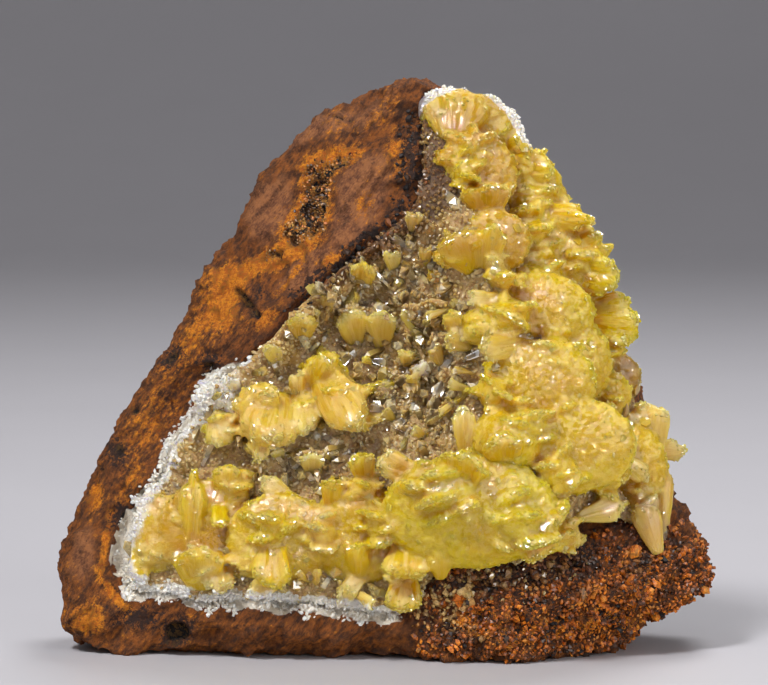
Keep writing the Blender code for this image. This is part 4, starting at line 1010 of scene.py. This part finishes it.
def make_floor():
    """A pale sheet that lies flat under the specimen and curves up far behind it."""
    near, bend, radius, top, half = SWEEP
    profile = [(-near, 0.0), (bend, 0.0)]
    for k in range(1, SWEEP_STEPS + 1):
        angle = 0.5 * math.pi * k / SWEEP_STEPS
        profile.append((bend + radius * math.sin(angle), radius * (1 - math.cos(angle))))
    profile.append((bend + radius, top))
    points = [(side * half, y, z) for y, z in profile for side in (-1, 1)]
    mesh = bpy.data.meshes.new("floor")
    faces = [(2 * k, 2 * k + 1, 2 * k + 3, 2 * k + 2) for k in range(len(profile) - 1)]
    mesh.from_pydata([tuple(c * MM for c in p) for p in points], [], faces)
    mesh.polygons.foreach_set("use_smooth", [True] * len(mesh.polygons))
    mesh.materials.append(material("pale_floor", floor_finish))
    floor = link("floor", mesh)


# ---------------------------------------------------------------- pieces
def keep(name, mesh, slot, finish, smooth, stands_for=()):
    """A finished piece: named, dressed and riding on the body."""
    mesh.name = name
    mesh.materials.clear()
    mesh.materials.append(finish)
    mesh.polygons.foreach_set("material_index", [0] * len(mesh.polygons))
    mesh.polygons.foreach_set("use_smooth", [smooth] * len(mesh.polygons))
    piece = link(name, mesh)
    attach(piece, "root")
    if stands_for:
        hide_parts(*stands_for)
    return piece


def lie_on_floor(points):
    """Keep what reaches the surface the specimen stands on from going below it."""
    points[:, 2] = np.maximum(points[:, 2], 0.0)
    return points


def fuller_foot(p):
    """Wider lower corners, and a shallow arch under the front edge."""
    x, y, z = p.T
    left = ease(-x, 20, 36) * (ease(-z, -27, -22) + ease(-z, -6, -3))
    right = ease(x, 18, 34) * np.exp(-(((z - 7.2) / 2.5) ** 2))
    span = np.arange(-42.0, 43.0)
    low = z < 3
    edge = [np.min(y[low & (np.abs(x - at) < 1.5)], initial=30.0) for at in span]
    arch = ease(x, -28, -23) * ease(-x, -3, 3) * ease(np.interp(x, span, edge) - y, -6, -2)
    top = ease(x, 4, 8) * ease(z, 68, 70)
    p[:, 2] = np.maximum(z, 0.95 * arch) - 1.1 * top
    p[:, 0] = x - 1.0 * left + 2.3 * right
    return p


def torn_rim(p, inside):
    """The hollow's rim with a ragged edge."""
    return inside + 1.5 * shell_noise(p, 1.7) + 1.0 * shell_noise(p, 0.8, 5.0)


def gappy(p, least):
    """A share that is 1 in clumps and falls to least in the gaps between them."""
    return least + (1 - least) * ease(shell_noise(p, 1.0, 9.0), -0.2, 0.25)


def rock_layers(p):
    """Which of the rock's slanting layers a point lies in, and how far through it."""
    turn = math.radians(LAYER_TURN)
    x, z = p[:, 0], p[:, 2]
    leaning = np.column_stack((
        x * math.cos(turn) + z * math.sin(turn), p[:, 1], 2.2 * (z * math.cos(turn) - x * math.sin(turn)),
    ))
    level = 3.2 * shell_noise(leaning, 9.0, 3.0) + 0.25 * shell_noise(p, 2.0, 8.0)
    share = level - np.floor(level)
    return np.floor(level) + ease(share, 0.8, 1.0), share


def rock_mesh():
    """The rock's skin, with its layers, crags and holes pushed in and its colours kept on it."""
    mesh = remeshed("rock_work", merged_copy("limonite_matrix", "rock_work"), ROCK_VOXEL, 3)
    p, n = fuller_foot(points_of(mesh)), normals_of(mesh)
    x, z = p[:, 0], p[:, 2]
    front = ease(-n[:, 1], -0.2, 0.3)
    inside = inside_rim(x, z)
    hollow = ease(inside, 0.3, 1.2) * front
    lining_rim = ease(-z, -37, -34) * ease(-x, -3, 0) * front
    crumb = ease(x, 1, 7) * ease(-z, -17, -12) * ease(-inside, -2, 0.5)
    margin = ease(-np.abs(torn_rim(p, inside) + 0.5), -1.8, -0.4)
    margin *= ease(z, 42, 46)
    margin *= ease(-z, -66, -63)
    margin *= front
    margin *= gappy(p, 0.45)
    lower = ease(-x - 0.35 * z, 2, 8)
    smooth_ledge = ease(-np.abs(z - 4.5), -2.2, -1.0) * ease(-x, 0, 4) * front
    smooth_slab = np.clip(patches(PURPLE, x, z), 0, 1) * front
    rough = 0.75 + 1.6 * crumb + 0.4 * (1 - front) - 0.5 * smooth_slab - 0.35 * smooth_ledge
    torn = 1 + 0.5 * shell_noise(p, 0.8, 4.0)
    core = ease(patches(PIT_CORE, x, z) * (1 + 0.8 * shell_noise(p, 1.0, 3.0)), 0.45, 0.8) * front
    pit = ease(patches([(*row[:5], 1.0) for row in HOLES], x, z) * torn, 0.25, 0.6) * front
    layer, share = rock_layers(p)
    firm, outside = 1 - crumb, 1 - hollow
    dark = (patches(DARK, x, z) + 1.3 * margin + 0.3 * lower) * front
    store_all(
        mesh,
        chalk=ease(inside + 0.7 * shell_noise(p, 1.1, 6.0), -0.5, 0.1) * lining_rim,
        orange=patches(ORANGE, x, z) * front + 0.12 * lower * front + 0.22 * (1 - front),
        dark=dark + 0.4 * hollow + 0.25 * (1 - front),
        purple=patches(PURPLE, x, z) * front,
        crumb=crumb,
        relief=np.clip(rough, 0.15, 2.3) * (1 - 0.8 * hollow),
        straw=ease(patches(STRAW_GRAINS, x, z), 0.25, 0.7) * front,
        rest=p * MM,
        core=core,
        # painted shade in the holes, which are also pushed in below
        hole=pit,
        halo=ease(patches(PIT_HALO, x, z) * torn, 0.7, 1.2) * front,
        crack=ease(share, 0.7, 0.85) * firm * outside,
    )
    crag = 1 - 2 * np.abs(shell_noise(p, 2.1, 2.0)) + 0.6 * (1 - 2 * np.abs(shell_noise(p, 0.95, 7.0)))
    steps = LAYER_STEP * layer * firm * outside
    crags = 0.34 * (crag - 0.9) * np.clip(rough, 0.05, 2.4) * outside
    holes = 0.9 * pit * np.minimum(patches(HOLES, x, z) * front, 1.6)
    shift = steps + crags - holes
    shift -= core * (0.3 + 1.6 * np.clip(shell_noise(p, 1.3, 12.0), -0.15, 0.5))
    set_points(mesh, lie_on_floor(p + n * shift[:, None]))
    return mesh


def make_rock(relief, scatter, shapes):
    """The rock with its crumbs, its black rim, its orange pit and its white margin."""
    mesh = relieved(relief, rock_mesh(), ROCK_RELIEF)
    set_points(mesh, lie_on_floor(points_of(mesh)))
    finish = material("limonite", limonite_finish)
    rock = keep("limonite_rock", mesh, "limonite", finish, True, ["limonite_matrix"])
    p, n = points_of(mesh), normals_of(mesh)
    x, _, z = p.T
    front = ease(-n[:, 1], 0.0, 0.4)
    inside = inside_rim(x, z)
    upper_rim = ease(z, 42, 45) * ease(-z, -67, -66)
    under = ease(x, 2, 7) * ease(-z, -16.5, -12.5) * ease(-inside, -1.5, 0.2) * ease(z, 0.3, 0.8)
    under *= front > 0.1
    band = ease(-np.abs(torn_rim(p, inside) - 0.8), -2.9, -1.5) * upper_rim * ease(-n[:, 1], -0.5, 0.0)
    band *= gappy(p, 0.3)
    margin = ease(inside + 0.7 * shell_noise(p, 1.1, 6.0), -0.7, -0.2) * ease(-inside, -2.6, -2.0)
    halo = ease(patches(PIT_HALO, x, z), 0.9, 1.4) * front * ease(shell_noise(p, 1.1, 2.0), -0.15, 0.1)
    core = ease(patches(PIT_CORE, x, z), 0.4, 0.7) * front
    store_all(
        mesh,
        growth=n,
        across=np.zeros_like(n),
        size=np.clip(1.0 + 0.9 * shell_noise(p, 1.8, 8.0), 0.5, 1.7),
        crumb_cover=np.clip(under, 0, 1),
        goethite_cover=np.clip(0.9 * band + 0.5 * under * ease(shell_noise(p, 2.6), 0.0, 0.2), 0, 1),
        clump_cover=under * ease(shell_noise(p, 2.2, 4.0), -0.1, 0.25),
        margin_cover=margin * ease(-z, -37, -34) * ease(-x, -3, 0) * front,
        glassy_cover=patches(GLASSY_SPOTS, x, z) * front * (inside < 0.8),
        halo_cover=np.clip(0.5 * halo + 0.9 * core, 0, 1),
    )
    for name, where, finish, spacing, size in (
        ("limonite_crumbs", "crumb_cover", crumb_finish, 0.46, (0.7, 1.7)),
        ("limonite_clumps", "clump_cover", crumb_finish, 0.95, (1.3, 3.0)),
        ("goethite_grains", "goethite_cover", goethite_finish, 0.36, (0.5, 1.2)),
        ("goethite_clumps", "goethite_cover", goethite_finish, 0.8, (1.1, 2.2)),
        ("ochre_grains", "halo_cover", ochre_finish, 0.36, (0.5, 0.95)),
        ("chalk_margin", "margin_cover", chalk_finish, 0.36, (0.7, 1.5)),
        ("glassy_grains", "glassy_cover", druse_crystal_finish, 0.6, (1.0, 2.2)),
    ):
        seed = SEED + len(name)
        made = scattered(scatter, rock, shapes["grain"], where, seed, spacing, size, 1.4, 1.5, 0.6, 0.1)
        set_points(made, lie_on_floor(points_of(made)))
        keep(name, made, "limonite", material(name, finish), False)


def shell_noise(points, size, offset=0.0):
    """Noise at the points, its features about as large as size, in mm."""
    return np.array([noise.noise(Vector(p) / size + Vector((offset, 0, 0))) for p in points])


def rings(at, around, levels):
    """Points and faces of a closed shell; at gives the place at a polar and a turning angle."""
    points = [at(0.0, 0.0)]
    for level in range(1, levels):
        points += [at(math.pi * level / levels, 2 * math.pi * i / around) for i in range(around)]
    points.append(at(math.pi, 0.0))
    last = len(points) - 1
    faces = []
    for i in range(around):
        j = (i + 1) % around
        faces += [(0, 1 + i, 1 + j), (last, last - around + j, last - around + i)]
        for level in range(levels - 2):
            a, b = 1 + level * around, 1 + (level + 1) * around
            faces.append((a + i, b + i, b + j, a + j))
    return points, faces


class Aggregate:
    """One dome or cushion: its shell, and the place and direction that its fibres grow from."""

    def __init__(self, at, around, levels, focus, tint, reach, flat=(0, 0, 0)):
        self.points, self.faces = rings(at, around, levels)
        self.focus, self.tint, self.reach, self.flat = focus, tint, reach, flat


def dome_shell(x, z, half_long, half_wide, turn, out, tint, wall):
    """A smooth dome on the wall, the ground or the core of a rosette."""
    c, s = math.cos(math.radians(turn)), math.sin(math.radians(turn))
    depth = float(wall(x, z))

    def at(polar, angle):
        a = half_long * math.sin(polar) * math.cos(angle)
        b = half_wide * math.sin(polar) * math.sin(angle)
        lift = out * math.cos(polar) * (1.0 if polar < math.pi / 2 else DOME_ROOT)
        return Vector((x + a * c - b * s, depth - lift, z + a * s + b * c))

    focus = Vector((x, depth + 0.25 * out, z))
    return Aggregate(at, 14, 8, focus, tint, 0.5 * (half_long + half_wide))


def cushion_shell(root, crest, side, half_wide, thick, tint, chance):
    """A thick fan of fibres that widens from its root to a rounded crest; side is roughly its face."""
    along = crest - root
    length = along.length
    along.normalize()
    across = along.cross(side + Vector((0.01, 0.02, 0.0))).normalized()
    flat = across.cross(along).normalized()
    cup, lean = chance.uniform(-0.1, 0.4) * thick, chance.uniform(-0.15, 0.15)
    middle = root + along * (0.5 * length)

    def at(polar, angle):
        rise = math.copysign(abs(math.cos(polar)) ** 0.75, math.cos(polar))
        swell = math.sin(polar) ** 0.65 * (0.7 + 0.3 * rise)
        u = swell * math.cos(angle)
        out = flat * (0.5 * thick * swell * math.sin(angle) - cup * u * u)
        return middle + along * (0.5 * length * (rise + lean * u)) + across * (half_wide * u) + out

    return Aggregate(at, 16, 10, root - along * (0.25 * length), tint, 1.25 * length, flat)


def sheaf(row, wall, chance):
    """A fan of two to four cushions that share a root and lean apart."""
    root_x, root_z, root_out, crest_x, crest_z, crest_out, half_wide, thick, tint = row
    root = Vector((root_x, float(wall(root_x, root_z)) - 0.5 * root_out + 0.4, root_z))
    crest = Vector((crest_x, float(wall(crest_x, crest_z)) - crest_out, crest_z))
    along = crest - root
    root -= 0.15 * along
    across = along.cross(Vector((0, 1, 0))).normalized()
    count = 2 + (half_wide > 1.2) + (half_wide > 2.0)
    made = []
    for k in range(count):
        u = -1 + 2 * k / (count - 1) + chance.uniform(-0.15, 0.15)
        long = 1 - 0.12 * u * u + chance.uniform(-0.06, 0.04)
        end = root + 1.15 * along * long + across * (0.55 * half_wide * u)
        end.y += chance.uniform(-0.25, 0.25) * thick
        start = root + across * (0.2 * half_wide * u)
        side = Vector((chance.gauss(0, 0.2), 1, chance.gauss(0, 0.2)))
        wide = half_wide * chance.uniform(0.55, 0.75)
        made.append(cushion_shell(start, end, side, wide, 1.15 * thick, tint, chance))
    return made


def rosette(row, wall, chance):
    """A low core with cushions that radiate from it, their crests on one dome."""
    x, z, half_long, half_wide, turn, out, tint = row
    c, s = math.cos(math.radians(turn)), math.sin(math.radians(turn))
    size = 0.5 * (half_long + half_wide)
    made = [dome_shell(x, z, 0.76 * half_long, 0.76 * half_wide, turn, 0.78 * out, tint, wall)]
    count = round(CUSHIONS_LEAST + CUSHIONS_PER_MM * size)
    start = chance.uniform(0, 2 * math.pi)
    for k in range(count):
        polar = math.acos(1 - (k + 0.6) / count * 0.9)
        angle = start + k * GOLDEN_ANGLE + chance.uniform(-0.3, 0.3)
        grow = chance.uniform(0.9, 1.1)
        a = grow * half_long * math.sin(polar) * math.cos(angle)
        b = grow * half_wide * math.sin(polar) * math.sin(angle)
        offset = Vector((a * c - b * s, 0, a * s + b * c))
        crest = Vector((x, float(wall(x, z)) - grow * out * math.cos(polar), z)) + offset
        root = Vector((x, float(wall(x, z)) + 0.2 * out, z)) + 0.25 * offset
        side = Vector((chance.gauss(0, 0.35), chance.gauss(-0.35, 0.3), 1.0))
        wide = chance.uniform(0.40, 0.66) * size + 0.45
        thick = chance.uniform(0.22, 0.36) * size + 0.45
        hue = chance.choice((tint, tint, tint, "straw"))
        made.append(cushion_shell(root, crest, side, wide, thick, hue, chance))
    return made


def blurred(mesh, values, rounds):
    """Values at the points, softened over their neighbours."""
    ends = np.empty(len(mesh.edges) * 2, np.int64)
    mesh.edges.foreach_get("vertices", ends)
    a, b = ends.reshape(-1, 2).T
    values = np.asarray(values, float)
    shape = (-1,) + (1,) * (values.ndim - 1)
    count = np.bincount(np.concatenate((a, b)), minlength=len(values)).reshape(shape) + 1.0
    for _ in range(rounds):
        total = values.copy()
        np.add.at(total, a, values[b])
        np.add.at(total, b, values[a])
        values = total / count
    return values


def grown_body(name, aggregates, wall):
    """One skin over all shells, with each point's growth direction, tint and depth kept on it; the depth is
    how much of the sky its neighbours cover, painted as shade by the finish.
    """
    mesh = bpy.data.meshes.new(name)
    work = bmesh.new()
    for one in aggregates:
        made = [work.verts.new(p * MM) for p in one.points]
        shell = [work.faces.new([made[i] for i in face]) for face in one.faces]
        bmesh.ops.recalc_face_normals(work, faces=shell)
    work.to_mesh(mesh)
    work.free()
    owners = [k for k, one in enumerate(aggregates) for _ in one.faces]
    tree = tree_of(mesh)
    skin = remeshed(name, mesh, BODY_VOXEL, 5)
    p = points_of(skin)
    back = wall(p[:, 0], p[:, 2]) + BODY_SUNK
    buried = p[:, 1] > back - 0.05
    p[:, 1] = np.minimum(p[:, 1], back)
    set_points(skin, p)
    n = normals_of(skin)
    own = np.array([owners[tree.find_nearest(Vector(q) * MM)[2]] for q in p])
    focus, flat, length = (
        np.array([getattr(one, key) for one in aggregates])[own] for key in ("focus", "flat", "reach")
    )
    growth = p - focus
    distance = np.maximum(np.linalg.norm(growth, axis=1), 1e-6)
    growth /= distance[:, None]
    reach = distance / length
    outward = np.einsum("ij,ij->i", growth, n)
    shown = np.where(buried, 0.0, 1.0)
    crest = ease(outward, 0.3, 0.85) * ease(reach, 0.6, 0.95)
    tints = np.array([paint(*TINTS[one.tint]) for one in aggregates])[own]
    bulge = np.einsum("ij,ij->i", p - blurred(skin, p, 12), n)
    edge = ease(bulge, 0.07, 0.2) * ease(outward, 0.0, 0.5)
    frost = frosting(p)
    store_all(
        skin,
        growth=growth,
        across=np.cross(flat, growth) * 1.2,
        fibre=growth * length[:, None] * MM + focus * MM,
        tint=blurred(skin, tints, 5),
        # painted shade: the share of the sky that neighbours cover
        cavity=blurred(skin, cavity_of(p, n, tree_of(skin)), 1),
        # crest: far out and facing out, painted paler in the finish as light through thin edges
        crest=blurred(skin, ease(reach, 0.55, 1.05) * (0.5 + 0.5 * ease(outward, 0.0, 0.8)), 3),
        frost=frost,
        frost_cover=shown * ease(frost, 0.4, 0.9),
        relief=shown * (0.4 + 0.6 * ease(outward, 0.2, 0.8)),
        cover=shown * edge,
        sugar=shown * (0.08 + 0.3 * ease(shell_noise(p, 2.2, 1.0), -0.1, 0.3)) * (1 - 0.7 * edge),
        size=0.8 + 0.4 * crest,
        tip=np.zeros(len(p)),
        shade=np.full(len(p), 0.5),
    )
    return skin


def frosting(p):
    """How much white frosting lies on the adamite: by the hollow's lower rim and along a few crests."""
    x, _, z = p.T
    rim = inside_rim(x, z) + 0.8 * shell_noise(p, 1.3, 6.0)
    frost = ease(-rim, -3.4, -0.6) * ease(-z, -37, -33) * ease(-x, -2, 3)
    for line, width in FROST:
        frost = np.maximum(frost, ease(-line_distance(line, x, z), -1.3 * width, -0.7 * width))
    return frost


def cavity_of(points, normals, tree):
    """Share of the sky over each point that its neighbours cover, painted as shade in the adamite's
    recesses.
    """
    chance = random.Random(SEED)
    rays = []
    while len(rays) < RECESS_SHADE_RAYS:
        ray = Vector([chance.uniform(-1, 1) for _ in range(3)])
        if 0.1 < ray.length < 1:
            rays.append(ray.normalized())
    covered = np.zeros(len(points))
    for i, (p, n) in enumerate(zip(points, normals)):
        n = Vector(n)
        start = Vector(p) * MM + n * 0.05 * MM
        for ray in rays:
            way = (n * 1.15 + ray).normalized()
            if tree.ray_cast(start, way, RECESS_SHADE_REACH * MM)[0] is not None:
                covered[i] += 1 / len(rays)
    return covered


THIN_CRYSTALS = (1.6, 0.85, 0.6, 0.12)  # depth, softness, shine and matt of the small crystals' finish
# Crystals on the adamite: (piece, shape, where, seed step, spacing, size, lean, bundle, its lean, lift).
ADAMITE_GRAINS = (
    ("blades", "blade", "cover", 0, 0.4, (0.55, 0.95), 0.1, 1.3, 0.25, 0.4),
    ("sugar", "sugar", "sugar", 3, 0.55, (0.4, 0.9), 0.2, 1.3, 0.3, 1.6),
    ("plates", "plate", "sugar", 5, 1.5, (0.4, 0.9), 0.3, 1.6, 0.2, 3.0),
    ("frost", "grain", "frost_cover", 7, 0.42, (0.6, 1.3), 1.0, 1.5, 0.4, 0.2),
)


def grow_adamite(relief, scatter, shapes, wall):
    """Each group's body, and the blades, small crystals, plates and frosting that stand on it."""
    chance = random.Random(SEED)
    finish = material("adamite", adamite_finish)
    thin = material("adamite_crystals", lambda *given: adamite_finish(*given, *THIN_CRYSTALS))
    frosty = material("adamite_frost", chalk_finish)
    for name, rosettes, fans, mounds, slot, node in (
        ("adamite_ridge", RIDGE_ROSETTES, RIDGE_SHEAVES, RIDGE_MOUNDS, "adamite", "adamite_main_mass"),
        ("adamite_lower_band", LOWER_ROSETTES, LOWER_SHEAVES, LOWER_MOUNDS, "adamite", "adamite_main_mass"),
        ("adamite_centre", CENTRE_ROSETTES, CENTRE_SHEAVES, [], "adamite_centre", "adamite_centre_cluster"),
        ("druse_sheaves", LINING_ROSETTES, LINING_SHEAVES, [], "druse", "druse_lining"),
    ):
        aggregates = [dome_shell(*row[:5], MOUND_RISE * row[5], row[6], wall) for row in mounds]
        aggregates += [one for row in rosettes for one in rosette(row, wall, chance)]
        lift = LINING_LIFT if node == "druse_lining" else 0.0
        raised = [(*row[:2], row[2] + 0.5 * lift, *row[3:5], row[5] + lift, *row[6:]) for row in fans]
        aggregates += [one for row in raised for one in sheaf(row, wall, chance)]
        body = grown_body(name + "_work", aggregates, wall)
        body = relieved(relief, body, ADAMITE_RELIEF, "fibre")
        item = keep(name + "_body", body, slot, finish, True, [node])
        grains = ADAMITE_GRAINS if mounds else ADAMITE_GRAINS[:-1]
        for part, kind, where, step, *numbers in grains:
            made = scattered(scatter, item, shapes[kind], where, SEED + step, *numbers)
            keep(f"{name}_{part}", made, slot, frosty if part == "frost" else thin, False)


def make_druse(relief, scatter, shapes):
    """The lining with its prisms, rods, chalky grains and black edge."""
    mesh = remeshed("druse_work", merged_copy("druse_lining", "druse_work"), DRUSE_VOXEL, 4)
    p, n = points_of(mesh), normals_of(mesh)
    x, _, z = p.T
    front = ease(-n[:, 1], 0.1, 0.5)
    inside = inside_rim(x, z)
    ragged = inside + 0.9 * shell_noise(p, 1.6, 3.0)
    chalk = ease(-ragged, -2.2, -1.2) * ease(-z, -38, -34) * ease(-x, -3, 2)
    chalk = np.clip(chalk + patches(CHALK_SPOTS, x, z), 0, 1)
    dark = ease(-inside, -6.5, -1.0) * ease(z, 41, 47) + 0.5 * ease(-inside, -9, -4) * ease(z, 46, 52)
    dark = np.clip(dark, 0, 1)
    store_all(
        mesh, chalk=chalk, dark=dark, relief=0.3 + 0.7 * front, rest=p * MM,
        growth=n, across=np.zeros_like(n), size=1.0 + 0.1 * dark,
    )
    mesh = relieved(relief, mesh, DRUSE_RELIEF)
    p = points_of(mesh)
    x, _, z = p.T
    rim = inside_rim(x, z)
    knobs = ease(-np.abs(rim + 1.5 * shell_noise(p, 1.7)), -1.9, -0.3)
    knobs = knobs * ease(z, 42, 45) * ease(-z, -67, -66)
    open_hollow = np.clip(patches(OPEN_HOLLOW, x, z), 0, 1)
    well_in = front * ease(rim, 1.2, 2.6)
    store_all(
        mesh,
        crystal_cover=front * (1 - chalk),
        chalk_cover=front * chalk,
        crust_cover=chalk * ease(-rim, -2.8, -1.6),
        knob_cover=knobs * ease(-x, -9, -7) * gappy(p, 0.4),
        rod_cover=well_in * (0.25 + 0.75 * open_hollow) * (1 - 0.8 * dark),
        fanlet_cover=well_in * open_hollow,
    )
    finish = material("druse_ground", druse_finish)
    ground = keep("druse_ground", mesh, "druse", finish, True, ["druse_lining"])
    for name, where, finish, kind, spacing, size, lean in (
        ("druse_crystals", "crystal_cover", druse_crystal_finish, "prism", 0.48, (0.6, 1.1), 0.7),
        ("druse_rods", "rod_cover", rod_finish, "rod", 1.25, (0.7, 1.6), 1.7),
        ("druse_fanlets", "fanlet_cover", rod_finish, "fanlet", 2.2, (0.9, 1.6), 1.4),
        ("chalk_crystals", "chalk_cover", chalk_finish, "grain", 0.36, (0.6, 1.1), 1.0),
        ("chalk_crust", "crust_cover", chalk_finish, "grain", 0.42, (0.9, 1.7), 1.0),
        ("goethite_edge", "knob_cover", goethite_finish, "grain", 0.32, (0.5, 1.2), 1.2),
    ):
        seed = SEED + len(name)
        made = scattered(scatter, ground, shapes[kind], where, seed, spacing, size, lean, 1.2, 0.9, 0.2)
        keep(name, made, "druse", material(name, finish), False)


def main():
    make_camera()
    make_light()
    make_floor()
    shapes = {
        kind: [make(f"{kind}_{i}", *row) for i, row in enumerate(rows)]
        for kind, (make, *rows) in SHAPES.items()
    }
    relief, scatter = relief_tree(), scatter_tree()
    wall = Wall(merged_copy("limonite_matrix", "wall_work"))
    make_rock(relief, scatter, shapes)
    make_druse(relief, scatter, shapes)
    grow_adamite(relief, scatter, shapes, wall)
    for item in sum(shapes.values(), []):
        bpy.data.objects.remove(item)


main()
